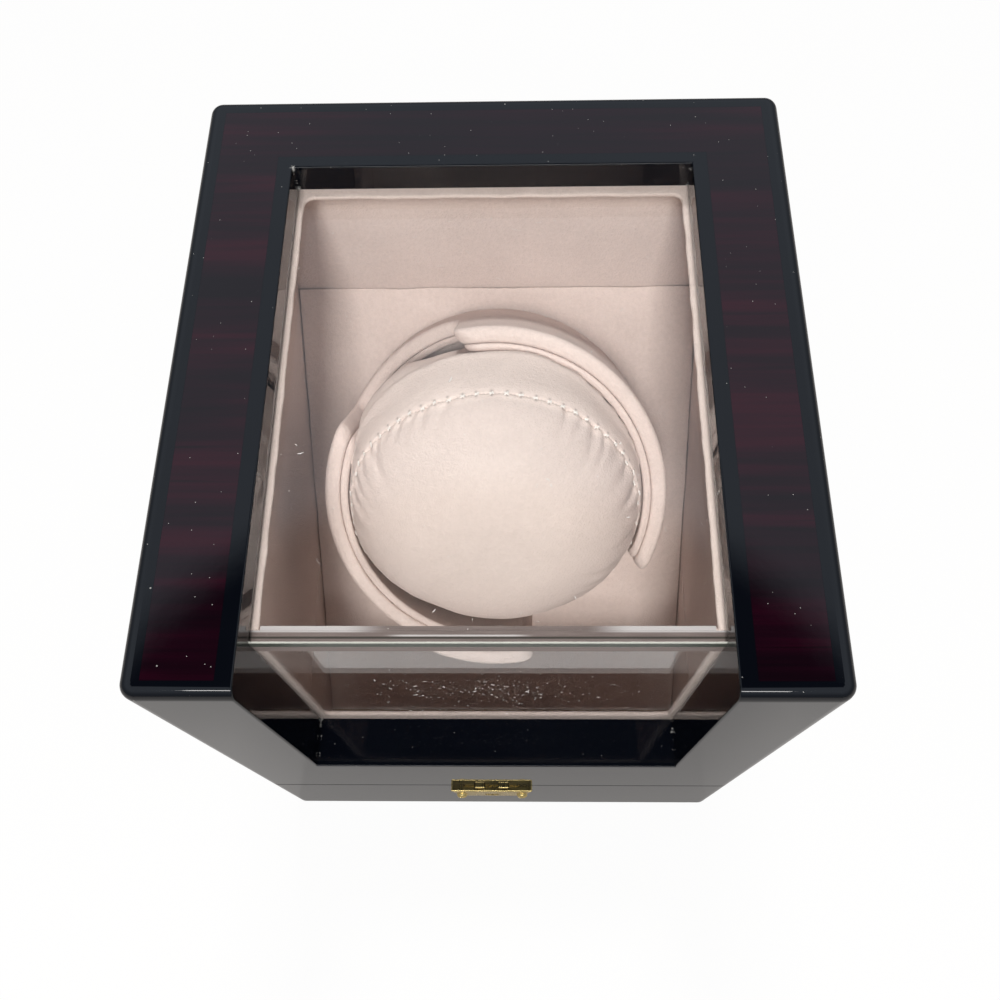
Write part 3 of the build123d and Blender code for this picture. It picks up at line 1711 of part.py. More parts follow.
with BuildPart() as lid_front_lining:
    corner_box(
        (glue_line - lined_half_width, front_pane_rear, lining_low),
        (lined_half_width - glue_line, lined_front, lining_high),
    )
    corner_box(
        (-lip_half_width, front_pane_rear, lip_bottom),
        (lip_half_width, lined_front, lining_high),
        mode=Mode.SUBTRACT,
    )
    fillet(
        lid_front_lining.edges().filter_by(Axis.Y).filter_by_position(
            Axis.Z, lip_bottom - glue_line, lip_bottom + glue_line
        ),
        lip_corner_radius,
    )

lid_front_lining.part.label = "lid_front_lining"
export_step(lid_front_lining.part, "parts/lid_front_lining.step")
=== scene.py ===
import json
import math

import bmesh
import bpy
import numpy as np
from mathutils import Euler, Matrix, Vector


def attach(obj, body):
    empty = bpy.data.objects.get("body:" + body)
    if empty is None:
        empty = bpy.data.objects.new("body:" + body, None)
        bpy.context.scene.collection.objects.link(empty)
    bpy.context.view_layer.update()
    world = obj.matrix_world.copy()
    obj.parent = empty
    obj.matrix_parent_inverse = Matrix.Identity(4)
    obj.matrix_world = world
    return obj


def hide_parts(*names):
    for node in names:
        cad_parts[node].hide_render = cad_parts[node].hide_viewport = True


# Looks of the watch winder: gloss lacquer, streaked veneer, glass, suede and brass.
# Lengths are millimetres until a mesh is made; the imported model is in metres.
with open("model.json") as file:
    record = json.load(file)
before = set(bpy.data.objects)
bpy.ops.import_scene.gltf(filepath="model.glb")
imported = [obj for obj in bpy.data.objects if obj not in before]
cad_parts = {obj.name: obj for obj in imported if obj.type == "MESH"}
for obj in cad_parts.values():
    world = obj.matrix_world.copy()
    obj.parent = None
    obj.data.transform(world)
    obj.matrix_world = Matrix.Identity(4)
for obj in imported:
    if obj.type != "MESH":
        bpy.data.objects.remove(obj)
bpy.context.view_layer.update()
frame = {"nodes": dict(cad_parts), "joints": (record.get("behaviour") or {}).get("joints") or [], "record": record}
MM = 0.001


# ---------------------------------------------------------------- helpers
def placed(name, data):
    """A new object of the scene that shows some data."""
    made = bpy.data.objects.new(name, data)
    bpy.context.scene.collection.objects.link(made)
    return made


def once_round(count):
    """Evenly spaced turns once round, without the last one, which falls on the first."""
    return np.linspace(0, math.tau, count, endpoint=False)


def unit(ways):
    """Ways drawn to a length of one."""
    return ways / np.maximum(np.linalg.norm(ways, axis=-1, keepdims=True), 1e-9)


def bell(value, width):
    """A bell: e to the power of minus the square of value over width."""
    return np.exp(-(value / width) ** 2)


def step_up(value, low, high):
    """Smoothly from 0 at low to 1 at high: three squares less two cubes of the share between."""
    share = np.clip((value - low) / (high - low), 0, 1)
    return share * share * (3 - 2 * share)


def straight(first, last, count):
    """Evenly spaced points from first to last."""
    first, last = np.asarray(first, float), np.asarray(last, float)
    return first + (last - first) * np.linspace(0, 1, count)[:, None]


# ---------------------------------------------------------------- camera
def set_camera():
    """The photograph's place: above the front edge, turned a little, with a small upward shift."""
    data = bpy.data.cameras.new("camera")
    data.sensor_width, data.lens, data.shift_y, data.clip_start = 36.0, 33.236, 0.058, 0.01
    pan, pitch, roll = 0.059749, 0.379353, -0.057271
    turn = (Euler((0, 0, pan)).to_matrix() @ Euler((pitch, 0, 0)).to_matrix()
            @ Euler((0, 0, roll)).to_matrix())
    camera = placed("camera", data)
    camera.matrix_world = Matrix.Translation((0.008227, -0.13914, 0.39442)) @ turn.to_4x4()
    bpy.context.scene.camera = camera


# ---------------------------------------------------------------- shader sums
class Socket:
    """One output of a shader node; sums of sockets and numbers add Math nodes to its tree."""

    def __init__(self, tree, out):
        self.tree, self.out = tree, out

    def node(self, kind, settings=(), sockets=(), output=0):
        """Add a node of a kind: its settings are set first, then its sockets' values or links."""
        made = self.tree.nodes.new(kind)
        for name, value in dict(settings).items():
            if name == "stops":
                ramp = made.color_ramp.elements
                ramp[0].position, ramp[1].position = value[0][0], value[-1][0]
                for place, _ in value[1:-1]:
                    ramp.new(place)
                for element, (_, colour) in zip(ramp, value):
                    element.color = (*colour, 1.0)
            else:
                setattr(made, name, value)
        for name, value in dict(sockets).items():
            if isinstance(value, Socket):
                self.tree.links.new(value.out, made.inputs[name])
            else:
                made.inputs[name].default_value = value
        return Socket(self.tree, made.outputs[output])

    def math(self, kind, *values):
        return self.node("ShaderNodeMath", {"operation": kind}, enumerate(values))

    def __add__(self, other):
        return self.math("ADD", self, other)

    def __radd__(self, other):
        return self.math("ADD", other, self)

    def __sub__(self, other):
        return self.math("SUBTRACT", self, other)

    def __rsub__(self, other):
        return self.math("SUBTRACT", other, self)

    def __mul__(self, other):
        return self.math("MULTIPLY", self, other)

    def __rmul__(self, other):
        return self.math("MULTIPLY", other, self)

    def least(self, other):
        return self.math("MINIMUM", self, other)

    def most(self, other):
        return self.math("MAXIMUM", self, other)

    def size(self):
        return self.math("ABSOLUTE", self)

    def rise(self, low, high, start=0.0, end=1.0):
        """Smoothly from 0 at low to 1 at high, or from start to end."""
        values = {"Value": self, "From Min": low, "From Max": high, "To Min": start, "To Max": end}
        return self.node("ShaderNodeMapRange", {"interpolation_type": "SMOOTHSTEP"}, values)

    def fall(self, low, high):
        """Smoothly from 1 at low to 0 at high."""
        return self.rise(low, high, 1.0, 0.0)

    def parts(self):
        """The three parts of a place, in millimetres."""
        long = self.node("ShaderNodeVectorMath", {"operation": "SCALE"}, {0: self, "Scale": 1000.0})
        return [long.node("ShaderNodeSeparateXYZ", (), {0: long}, k) for k in range(3)]

    def stretched(self, x, y, z):
        return self.node("ShaderNodeMapping", (), {"Vector": self, "Scale": (x, y, z)})

    def noise(self, pitch, detail=2.0, rough=0.5, bend=0.0):
        """Soft noise whose lumps are about a pitch apart, in millimetres, from 0 to 1."""
        values = {
            "Vector": self, "Scale": 1000.0 / pitch, "Detail": detail,
            "Roughness": rough, "Distortion": bend,
        }
        return self.node("ShaderNodeTexNoise", (), values)

    def cells(self, pitch, output="Distance"):
        """Distance to the nearest of scattered points a pitch apart, or that point's own colour."""
        values = {"Vector": self, "Scale": 1000.0 / pitch}
        return self.node("ShaderNodeTexVoronoi", (), values, output)

    def specks(self, pitch, radius, share):
        """Round specks of a radius on a share of scattered points, as a mask."""
        chance = self.node("ShaderNodeSeparateColor", (), {0: self.cells(pitch, "Color")}, 0)
        spot = self.cells(pitch).fall(0.6 * radius / pitch, radius / pitch)
        return spot * chance.rise(1.0 - share, 1.0 - share + 0.01)

    def tint(self, low, high):
        """A colour between two, by this socket's value; 6 and 7 are the mix's colour sockets."""
        low, high = ((*end, 1.0) if isinstance(end, tuple) else end for end in (low, high))
        return self.node("ShaderNodeMix", {"data_type": "RGBA"}, {0: self, 6: low, 7: high}, 2)

    def ramp(self, *stops):
        return self.node("ShaderNodeValToRGB", {"stops": stops}, {0: self})

    def bump(self, height, under=None):
        """A normal from a height in millimetres, over another bump if one is given."""
        values = {"Strength": 1.0, "Distance": MM, "Height": self * height}
        if under:
            values["Normal"] = under
        return self.node("ShaderNodeBump", (), values)


def ray(tree, kind):
    """1 where light is followed as a ray of a kind, such as Camera or Shadow."""
    return Socket(tree, tree.nodes.new("ShaderNodeLightPath").outputs[f"Is {kind} Ray"])


def mix_over(material, share, kind, values):
    """Mix a shader of another kind over a material's own one, by a share."""
    tree = material.node_tree
    own = Socket(tree, tree.nodes["Principled BSDF"].outputs[0])
    other = share.node(kind, (), values)
    mixed = share.node("ShaderNodeMixShader", (), {0: share, 1: own, 2: other})
    tree.links.new(mixed.out, tree.nodes["Material Output"].inputs["Surface"])


def finish(name, constants):
    """Turn the function below it into a material: constants stand on the shader's own sockets,
    and the function gives what varies with the place."""

    def made(paint):
        material = bpy.data.materials.new(name)
        material.use_nodes = True
        tree = material.node_tree
        shader = tree.nodes["Principled BSDF"]
        for socket, value in constants.items():
            shader.inputs[socket].default_value = value
        place = Socket(tree, tree.nodes.new("ShaderNodeTexCoord").outputs["Object"])
        for socket, value in paint(place).items():
            tree.links.new(value.out, shader.inputs[socket])
        return material

    return made


# ---------------------------------------------------------------- finishes
def lacquered(place, colour):
    """Gloss lacquer over a colour: faint orange peel, smudges, dust, and polish left in the
    window's corners."""
    window_side, window_rear, ledge_top = 57.8, 64.6, 92.4
    x, y, z = place.parts()
    dust = place.specks(1.5, 0.15, 0.12).most(place.specks(4.2, 0.26, 0.10))
    side = (x.size() - window_side).size()
    ledge = (z - ledge_top).size().most(side)
    rear = (y - window_rear).size().most(side)
    corner = ledge.least(rear).fall(0.25, 0.9) * place.noise(3.1, 4.0, 0.75).rise(0.55, 0.68)
    marks = (dust * 0.45).most(corner * 0.6)
    smudge = place.noise(26.0, 4.0, 0.6, 0.6).rise(0.46, 0.74)
    return {
        "Base Color": marks.tint(colour, (0.62, 0.62, 0.60)),
        "Roughness": marks * 0.5 + smudge * 0.05 + 0.03,
        "Normal": place.noise(5.0).bump(0.006),
    }


@finish("black_lacquer", {"IOR": 1.5})
def black_lacquer(place):
    depth = place.noise(40.0, 3.0)
    return lacquered(place, depth.tint((0.0006, 0.0009, 0.0022), (0.0018, 0.0024, 0.0042)))


@finish("streaked_veneer", {"IOR": 1.5})
def streaked_veneer(place):
    """Long streaks across the case, dark and deep red, under the same lacquer."""
    broad = place.stretched(0.07, 1.0, 1.0).noise(15.0, 3.0, 0.55, 0.35)
    fine = place.stretched(0.035, 1.0, 1.0).noise(3.4, 3.0, 0.6, 0.2)
    line = place.stretched(0.03, 1.0, 1.0).noise(1.6).rise(0.66, 0.74)
    wood = (broad * 0.72 + fine * 0.30).ramp(
        (0.40, (0.0032, 0.0006, 0.0020)), (0.49, (0.0068, 0.0006, 0.0030)),
        (0.55, (0.0125, 0.0006, 0.0042)), (0.61, (0.0185, 0.0007, 0.0050)),
        (0.72, (0.0075, 0.0006, 0.0032)),
    )
    return lacquered(place, (line * 0.55).tint(wood, (0.002, 0.0005, 0.0012)))


@finish("clear_glass", {"IOR": 1.5, "Transmission Weight": 1.0})
def clear_glass(place):
    """Clear float glass, whose ground edges are greener and dull."""
    x, y, z = place.parts()
    side = x.size().rise(65.3, 65.7)
    top_pane_edge = y.fall(-75.75, -75.5).most(y.rise(72.1, 72.4)).most(side)
    lies_flat = z.rise(176.20, 176.30)
    front_pane_edge = z.fall(84.7, 84.9).most(side)
    edge = (top_pane_edge * lies_flat).most(front_pane_edge)
    return {
        "Base Color": edge.tint((0.992, 0.996, 0.993), (0.78, 0.86, 0.80)),
        "Roughness": edge * 0.28,
    }


# Shadow rays and diffuse light pass straight through the glass.
passing = ray(clear_glass.node_tree, "Shadow") + ray(clear_glass.node_tree, "Diffuse")
mix_over(clear_glass, passing, "ShaderNodeBsdfTransparent", {"Color": (0.95, 0.955, 0.95, 1.0)})


def suede(name, low, high, sewn=False):
    """Brushed microsuede: broad touch marks, a fine nap and a little fuzz. If sewn, it also shows painted shade in
    the needle holes and along the seam line, and painted shade over the crown's rim, darker towards the seam and
    on the right."""

    @finish(name, {
        "Roughness": 0.95, "Sheen Weight": 0.14, "Sheen Roughness": 0.45,
        "Sheen Tint": (1.0, 0.95, 0.92, 1.0), "Specular IOR Level": 0.25,
    })
    def nap(place):
        def kept(mark):
            return place.node("ShaderNodeAttribute", {"attribute_name": mark}, (), "Fac")

        touch = place.noise(34.0, 3.0, 0.55, 0.8).rise(0.30, 0.72)
        mottle = place.noise(1.5, 3.0, 0.65).rise(0.28, 0.72)
        grain = place.noise(0.55, 2.0, 0.7).rise(0.30, 0.70)
        shade = (touch * 0.36 + mottle * 0.34 + grain * 0.30).tint(low, high)
        marks = place.specks(7.0, 0.16, 0.10) * 0.6
        if sewn:
            # Painted shade in the needle holes and along the seam line.
            marks = marks.most(kept("needle"))
        colour = marks.tint(shade, (0.30, 0.24, 0.22))
        if sewn:
            # Painted shade over the crown's rim near the seam, stronger on the right.
            colour = kept("worn").tint(colour, (0.30, 0.24, 0.235))
        return {"Base Color": colour, "Normal": grain.bump(0.08, mottle.bump(0.08))}

    return nap


@finish("dark_felt", {"Roughness": 1.0, "Sheen Weight": 0.3})
def dark_felt(place):
    fibre = place.stretched(1.0, 0.35, 1.0).noise(0.9, 4.0, 0.7, 1.2)
    shade = fibre * 0.6 + place.noise(3.0, 3.0, 0.6) * 0.4
    return {
        "Base Color": shade.tint((0.008, 0.008, 0.009), (0.055, 0.053, 0.052)),
        "Normal": fibre.bump(0.35),
    }


@finish("raw_board", {"Roughness": 0.88})
def raw_board(place):
    """Pressed fibreboard: pale brown with darker fibres, a few of them long."""
    fibre = place.noise(0.9, 4.0, 0.7, 1.5)
    dark = place.stretched(0.4, 1.0, 0.7).noise(1.4, 2.0, 0.6, 2.0).rise(0.62, 0.72)
    pale = (fibre * 0.6 + place.noise(9.0, 3.0) * 0.4).tint((0.30, 0.20, 0.11), (0.56, 0.42, 0.27))
    return {"Base Color": (dark * 0.5).tint(pale, (0.16, 0.10, 0.06)), "Normal": fibre.bump(0.12)}


def metal(name, low, high, rough):
    """Metal with fine one-way brushing, dull spots and a slightly uneven colour."""

    @finish(name, {"Metallic": 1.0})
    def brushed(place):
        lines = place.stretched(1.0, 0.05, 0.05).noise(0.28, 2.0, 0.6)
        spots = place.noise(3.5, 4.0, 0.65).rise(0.45, 0.8)
        return {
            "Base Color": (lines * 0.5 + spots * 0.5).tint(high, low),
            "Roughness": spots * 0.16 + lines * 0.06 + rough,
            "Normal": lines.bump(0.006),
        }

    return brushed


def moulded(name, low, high, rough, flecks=0.0):
    """Moulded plastic with a fine spark-eroded skin and faint flow marks."""

    @finish(name, {})
    def plastic(place):
        skin = place.noise(0.35, 2.0, 0.6)
        flow = place.stretched(0.3, 1.0, 1.0).noise(7.0, 3.0, 0.6, 1.0)
        shade = (flow * 0.6 + skin * 0.4).tint(low, high)
        return {
            "Base Color": (place.specks(2.5, 0.15, flecks) * 0.4).tint(shade, (0.4, 0.4, 0.4)),
            "Roughness": flow * 0.12 + rough,
            "Normal": skin.bump(0.03),
        }

    return plastic


@finish("knob_plastic", {"Roughness": 0.45})
def knob_plastic(place):
    """Black moulded plastic with its pointer's recess filled in white."""
    x, y, z = place.parts()
    inside = (x + 32.0).size().fall(0.58, 0.62) * (z - 31.8).size().fall(2.38, 2.42)
    pointer = inside * y.rise(100.95, 101.0) * y.fall(101.2, 101.3)
    skin = place.noise(0.35, 2.0, 0.6)
    black = skin.tint((0.012, 0.012, 0.013), (0.028, 0.028, 0.030))
    return {"Base Color": pointer.tint(black, (0.80, 0.80, 0.78)), "Normal": skin.bump(0.03)}


@finish("circuit_board", {"Roughness": 0.35})
def circuit_board(place):
    """Green solder mask over copper tracks, tinned joints, black chips and white connectors."""
    x, y, z = place.parts()
    u, v = x + 32.0, y - 8.0

    def patches(*boxes):
        """Two boxes above the board, given by their middles and half sizes, as a mask."""
        soft = 0.05
        held = [(u - cx).size().fall(half_x, half_x + soft)
                * (v - cy).size().fall(half_y, half_y + soft) for cx, cy, half_x, half_y in boxes]
        return held[0].most(held[1]) * z.rise(14.62, 14.66)

    chips = patches((-4, 3, 7.1, 3.6), (-20, -5, 2.6, 4.1))
    sockets = patches((14, 10, 4.6, 2.6), (0, -12, 4.6, 2.6))
    cans = patches((17, -4, 3.1, 3.1), (9, -7, 3.1, 3.1))
    tracks = place.stretched(1.0, 0.25, 1.0).noise(1.9, 1.0, 0.4).rise(0.54, 0.56)
    dots = (x.math("PINGPONG", x, 1.27) - 0.2).size().fall(0.5, 0.62)
    rows = (y.math("PINGPONG", y, 2.54) - 0.4).size().fall(0.5, 0.62)
    mask = tracks.tint((0.006, 0.085, 0.030), (0.014, 0.150, 0.055))
    colour = (dots * rows * 0.8).tint(mask, (0.55, 0.56, 0.56))
    colour = chips.tint(colour, (0.012, 0.012, 0.013))
    colour = sockets.tint(colour, (0.78, 0.76, 0.70))
    return {"Base Color": cans.tint(colour, (0.020, 0.028, 0.060)), "Normal": tracks.bump(0.05)}


@finish("stitch_thread", {"Roughness": 0.7})
def stitch_thread(place):
    ply = place.noise(0.25, 2.0, 0.6)
    shade = ply.tint((0.80, 0.75, 0.71), (0.95, 0.92, 0.89))
    return {"Base Color": shade, "Normal": ply.bump(0.03)}


@finish("ground_glass_and_painted_light", {"Roughness": 0.5})
def ground_glass_and_painted_light(place):
    """Ground glass skin: grey-green on the top pane's end face and white along its arris. What lies below z 177 mm
    takes half the tone of the hidden upper end, which is a painted see-through tone of the lit suede behind: pale,
    with a dark line, a painted highlight line in the middle and whiter painted reflection streaks at the ends."""
    x, y, z = place.parts()
    grind = place.stretched(0.05, 1.0, 1.0).noise(0.5, 3.0, 0.6)
    end = grind.tint((0.030, 0.035, 0.028), (0.080, 0.086, 0.074))
    arris = grind.tint((0.40, 0.385, 0.365), (0.62, 0.60, 0.57))
    # Painted highlight: a lit line in the middle of the hidden upper end.
    painted_highlight_line = (y + 73.3).size().fall(0.12, 0.32) * (x + 7.0).size().fall(13.0, 19.0)
    # Painted reflection: whiter streaks towards both ends, joined with the painted highlight.
    painted_reflection_streaks = (y.rise(-72.7, -72.2) * x.size().rise(24.0, 36.0)).most(painted_highlight_line)
    # Painted see-through tone of the lit suede behind the glass, crossed by a dark line.
    painted_see_through = grind.tint((0.21, 0.150, 0.145), (0.42, 0.325, 0.31))
    painted_see_through = (y + 73.85).size().fall(0.15, 0.40).tint(painted_see_through, (0.055, 0.038, 0.034))
    inside = painted_reflection_streaks.tint(painted_see_through, (0.96, 0.90, 0.91))
    face = z.rise(179.86, 179.90).tint(end, arris)
    # Below z 177 mm the skins take half of this painted light.
    painted_light_below = z.fall(177.0, 177.1) * 0.5
    return {"Base Color": painted_light_below.tint(face, inside)}


@finish("lint", {"Roughness": 0.9})
def lint_fluff(place):
    return {"Base Color": place.noise(5.0).tint((0.55, 0.54, 0.52), (0.85, 0.84, 0.82))}


@finish("floor", {"Roughness": 0.9})
def floor_paper(place):
    return {"Base Color": place.noise(60.0).tint((0.40, 0.395, 0.39), (0.43, 0.425, 0.42))}


# ---------------------------------------------------------------- studio
def studio_world():
    """White to the camera; to mirrors, pale walls that brighten upward, and to all other light
    even grey ones, both with a dark opening overhead, where the photographer stands."""
    world = bpy.data.worlds.new("studio")
    bpy.context.scene.world = world
    world.use_nodes = True
    tree = world.node_tree
    way = Socket(tree, tree.nodes.new("ShaderNodeTexCoord").outputs["Generated"])
    above = way.node("ShaderNodeVectorMath", {"operation": "DOT_PRODUCT"},
                     {0: way, 1: (-0.035, 0.0, 1.0)}, "Value")
    opening = above.rise(math.cos(math.radians(28.0)), math.cos(math.radians(24.5)))
    mirrored = ray(tree, "Glossy").most(ray(tree, "Transmission"))
    height = way.node("ShaderNodeSeparateXYZ", (), {0: way}, 2)
    pale = height.rise(0.10, 0.66).tint((0.20, 0.22, 0.25), (0.52, 0.58, 0.66))
    walls = opening.tint(mirrored.tint((0.25, 0.243, 0.24), pale), (0.020, 0.024, 0.032))
    shown = ray(tree, "Camera").tint(walls, (1.0, 1.0, 1.0))
    tree.links.new(shown.out, tree.nodes["Background"].inputs["Color"])


def studio_lamp(name, place, aim, width, depth, radiance, colour, mirrored=False):
    """A soft lamp that faces its aim; its power is radiance times pi times its area. Only a
    mirrored lamp shows in reflections and through the glass."""
    data = bpy.data.lights.new(name, "AREA")
    data.shape, data.size, data.size_y = "RECTANGLE", width, depth
    data.energy = radiance * math.pi * width * depth
    data.color = colour
    lamp = placed(name, data)
    facing = (Vector(aim) - Vector(place)).to_track_quat("-Z", "Y").to_matrix().to_4x4()
    lamp.matrix_world = Matrix.Translation(place) @ facing
    lamp.visible_camera = False
    lamp.visible_glossy = lamp.visible_transmission = mirrored


def studio_floor():
    """A pale floor that shows white to the camera and keeps a faint shadow of the case."""
    reach = np.linspace(-2500, 2500, 9)
    x, y = np.meshgrid(reach, reach)
    floor = surface("floor", [np.stack([x, y, np.zeros_like(x)], -1)], loop_columns=False)
    tree, share = floor_paper.node_tree, 0.88
    seen = ray(tree, "Camera") * share + ray(tree, "Transmission") * share
    white = {"Color": (1.0, 1.0, 1.0, 1.0), "Strength": 1.06}
    mix_over(floor_paper, seen, "ShaderNodeEmission", white)
    floor.data.materials.append(floor_paper)


# ---------------------------------------------------------------- surfaces
def surface(name, grids, loop_rows=False, loop_columns=True, sharp=40.0, weld=True):
    """A mesh over grids of points in millimetres, of rows by columns, or of many such grids.

    Neighbouring points make quads; a looped way joins its last points to its first; points that
    fall together are welded, so rows that shrink to a point or a line close the surface.
    """
    points, faces, count = [], [], 0
    for grid in grids:
        grid = grid if grid.ndim == 4 else grid[None]
        size = grid.shape[:3]
        index = count + np.arange(size[0] * size[1] * size[2]).reshape(size)
        if loop_rows:
            index = np.concatenate([index, index[:, :1]], 1)
        if loop_columns:
            index = np.concatenate([index, index[:, :, :1]], 2)
        quads = np.stack(
            [index[:, :-1, :-1], index[:, 1:, :-1], index[:, 1:, 1:], index[:, :-1, 1:]], -1
        )
        points.append(grid.reshape(-1, 3))
        faces.append(quads.reshape(-1, 4))
        count += len(points[-1])
    mesh = bpy.data.meshes.new(name)
    mesh.from_pydata(np.concatenate(points) * MM, [], np.concatenate(faces).tolist())
    made = placed(name, mesh)
    if weld:
        shell = bmesh.new()
        shell.from_mesh(mesh)
        bmesh.ops.remove_doubles(shell, verts=shell.verts, dist=2e-6)
        bmesh.ops.recalc_face_normals(shell, faces=shell.faces)
        shell.to_mesh(mesh)
        shell.free()
        mesh.shade_smooth()
        mesh.set_sharp_from_angle(angle=math.radians(sharp))
    return made


def settle(piece, body, material, slot, *nodes):
    """Finish a piece: its material, the body it rides on, and the nodes it stands for. The slot is not used."""
    piece.data.materials.append(material)
    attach(piece, body)
    if nodes:
        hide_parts(*nodes)
    return piece


def ripple(points, reach, seed):
    """Gentle waves from -1 to 1: five sines over the place, each its own way and about a reach
    long."""
    rng = np.random.default_rng(seed)
    ways = unit(rng.normal(size=(5, 3))) * (math.tau / reach) * rng.uniform(0.6, 1.4, (5, 1))
    starts = rng.uniform(0, math.tau, 5)
    return np.sin(np.asarray(points)[..., None, :] @ ways.T + starts).mean((-1, -2)) * 1.6


def card(start, end, face, depth, edge, soft=0.0, closed=False, lines=40, seed=1, wander=0.0):
    """A covered card between two matching edges, as a grid whose columns close.

    Its section runs from edge to edge with corners rounded by edge and a depth along its face, and
    is carried along the edges. The face side gets soft waves, the edges wander, and both ends
    round over and close on the middle of the depth, unless the edges are closed lines.
    """
    start, end = np.asarray(start, float), np.asarray(end, float)
    steps, edge_waves, face_waves = 5, 22.0, 45.0
    start, end = np.asarray(start, float), np.asarray(end, float)
    face = np.broadcast_to(np.asarray(face, float), start.shape)
    squash = np.ones(len(start))
    turn = np.radians(np.linspace(90, 0, steps))
    arc_off, arc_high = edge * (1 - np.sin(turn)), depth - edge * (1 - np.cos(turn))
    if not closed:
        back = np.concatenate([[0.0], arc_off])
        thin = np.concatenate([[0.0], 1 - (2 * edge / depth) * (1 - np.cos(turn))])

        def rounded(line):
            first = line[0] + unit(line[1] - line[0]) * back[:, None]
            last = line[-1] + unit(line[-2] - line[-1]) * back[::-1, None]
            return np.concatenate([first, line[1:-1], last])

        start, end = rounded(start), rounded(end)
        more = len(back)
        face = np.concatenate([face[:1].repeat(more, 0), face[1:-1], face[-1:].repeat(more, 0)])
        squash = np.concatenate([thin, squash[1:-1], thin[::-1]])
    width = np.linalg.norm(end - start, axis=1)[:, None]
    across = (end - start) / width
    inner = np.linspace(0, 1, lines)[1:-1]
    share = np.concatenate([np.zeros(steps), inner, np.ones(steps)])
    shift = np.concatenate([arc_off, edge * (1 - 2 * inner), -arc_off[::-1]])
    high = np.concatenate([arc_high, np.full(lines - 2, depth), arc_high[::-1]])
    calm = np.concatenate([np.zeros(steps), np.sin(np.pi * inner) ** 0.5, np.zeros(steps)])
    share, shift = np.concatenate([share, share[::-1]]), np.concatenate([shift, shift[::-1]])
    high = np.concatenate([high, (depth - high)[::-1]])
    calm = np.concatenate([calm, np.zeros(len(calm))])
    ends = squash
    if not closed:
        ends = squash * np.sin(np.pi * np.linspace(0, 1, len(start))) ** 0.3
    stray = wander * ripple(start + end, edge_waves, seed) * ends
    stray = stray[:, None] * (1 - 2 * share)
    flat = start[:, None] + across[:, None] * (share * width + shift + stray)[..., None]
    lift = high + soft * calm * ripple(flat, face_waves, seed + 1) * ends[:, None]
    level = depth / 2 + (lift - depth / 2) * squash[:, None]
    return flat + face[:, None] * level[..., None]


def bent_path(corners, radius, step):
    """Points about a step apart along straight runs whose corners are rounded by a radius."""

    def along(first, last):
        return straight(first, last, max(2, int(np.linalg.norm(last - first) / step)))

    pieces, at = [], corners[0]
    turn = np.linspace(0, math.pi / 2, 9)[1:-1, None]
    for before, corner, after in zip(corners, corners[1:], corners[2:]):
        into, out = unit(corner - before), unit(after - corner)
        first = corner - into * radius
        pieces += [along(at, first),
                   first + into * radius * np.sin(turn) + out * radius * (1 - np.cos(turn))]
        at = corner + out * radius
    return np.concatenate([*pieces, along(at, corners[-1])])


def opposite(points, corners, others):
    """For points near straight runs between corners, the points at the same shares of the same
    runs between other corners; of equally near runs the first one counts."""
    run = np.diff(corners, axis=0)
    off = points[:, None] - corners[:-1]
    share = np.clip((off * run).sum(-1) / (run * run).sum(-1), 0, 1)[..., None]
    gap = np.linalg.norm(run * share - off, axis=-1)
    nearest = np.argmax(gap <= gap.min(1, keepdims=True) + 1e-9, axis=1)
    share = share[np.arange(len(points)), nearest]
    return others[nearest] + np.diff(others, axis=0)[nearest] * share


def u_shape(half, mouth, bar):
    """The four corners of a U, from one end of its mouth to the other: half its width, and the
    y and z of its mouth and of its bar."""
    return np.array([(-half, *mouth), (-half, *bar), (half, *bar), (half, *mouth)])


def lay_suede(name, grid, body, node, **ways):
    """A piece in the lining's suede that stands for one CAD piece."""
    return settle(surface(name, [grid], **ways), body, lining_suede, "suede", node)


# ---------------------------------------------------------------- deck and drum frames
SLOPE = math.radians(42.0)
drum_spin = next(joint for joint in frame["joints"] if joint["name"] == "drum_spin")
ACROSS = np.array((1.0, 0.0, 0.0))
AXLE = np.array(drum_spin["axis"])
UPHILL = np.cross(AXLE, ACROSS)
DRUM_FOOT = np.array(drum_spin["pos_m"]) / MM


def on_deck(across, along, level):
    """Points given across the deck, up its slope and out of its surface."""
    across, along, level = np.broadcast_arrays(across, along, level)
    return (DRUM_FOOT + across[..., None] * ACROSS + along[..., None] * UPHILL
            + level[..., None] * AXLE)


def around_drum(radius, turn, level):
    """Points given by radius and turn about the drum's axle, and level above the deck."""
    return on_deck(radius * np.cos(turn), radius * np.sin(turn), level)


# ---------------------------------------------------------------- suede covered cards
def chamber_linings():
    """The suede covered cards of the lid: back, sides, and the two with the windows' lips."""
    low, high, level = 50.25, 174.78, 174.80
    across, inside, thick = 73.48, -70.52, 1.46

    def upright(x, y):
        return straight((x, y, low), (x, y, high), 56)

    back = card(upright(-across, 76.48), upright(across, 76.48), (0, -1, 0), thick, 0.45,
                soft=0.14, lines=64, seed=3)
    lay_suede("back_lining_suede", back, "lid", "lid_back_lining")
    for side, name in ((-1, "left"), (1, "right")):
        x = side * across
        face = card(upright(x, -71.98), upright(x, 74.96), (-side, 0, 0), thick, 0.45,
                    soft=0.14, lines=64, seed=5 + side)
        lay_suede(f"{name}_lining_suede", face, "lid", f"lid_{name}_lining")
    for name, lip, rim, facing, lines, seed, wander in (
        ("ceiling", u_shape(56.5, (-71.98, level), (63.6, level)),
         u_shape(73.46, (-71.98, level), (76.46, level)), (0, 0, 1), 14, 9, 0.22),
        ("front", u_shape(56.2, (inside, high), (inside, 94.4)),
         u_shape(71.96, (inside, high), (inside, low)), (0, -1, 0), 20, 11, 0.18),
    ):
        inner = bent_path(lip, radius=3.0, step=2.2)
        window = card(inner, opposite(inner, lip, rim), facing, thick, 0.7,
                      lines=lines, seed=seed, wander=wander)
        lay_suede(f"{name}_lining_suede", window, "lid", f"lid_{name}_lining")


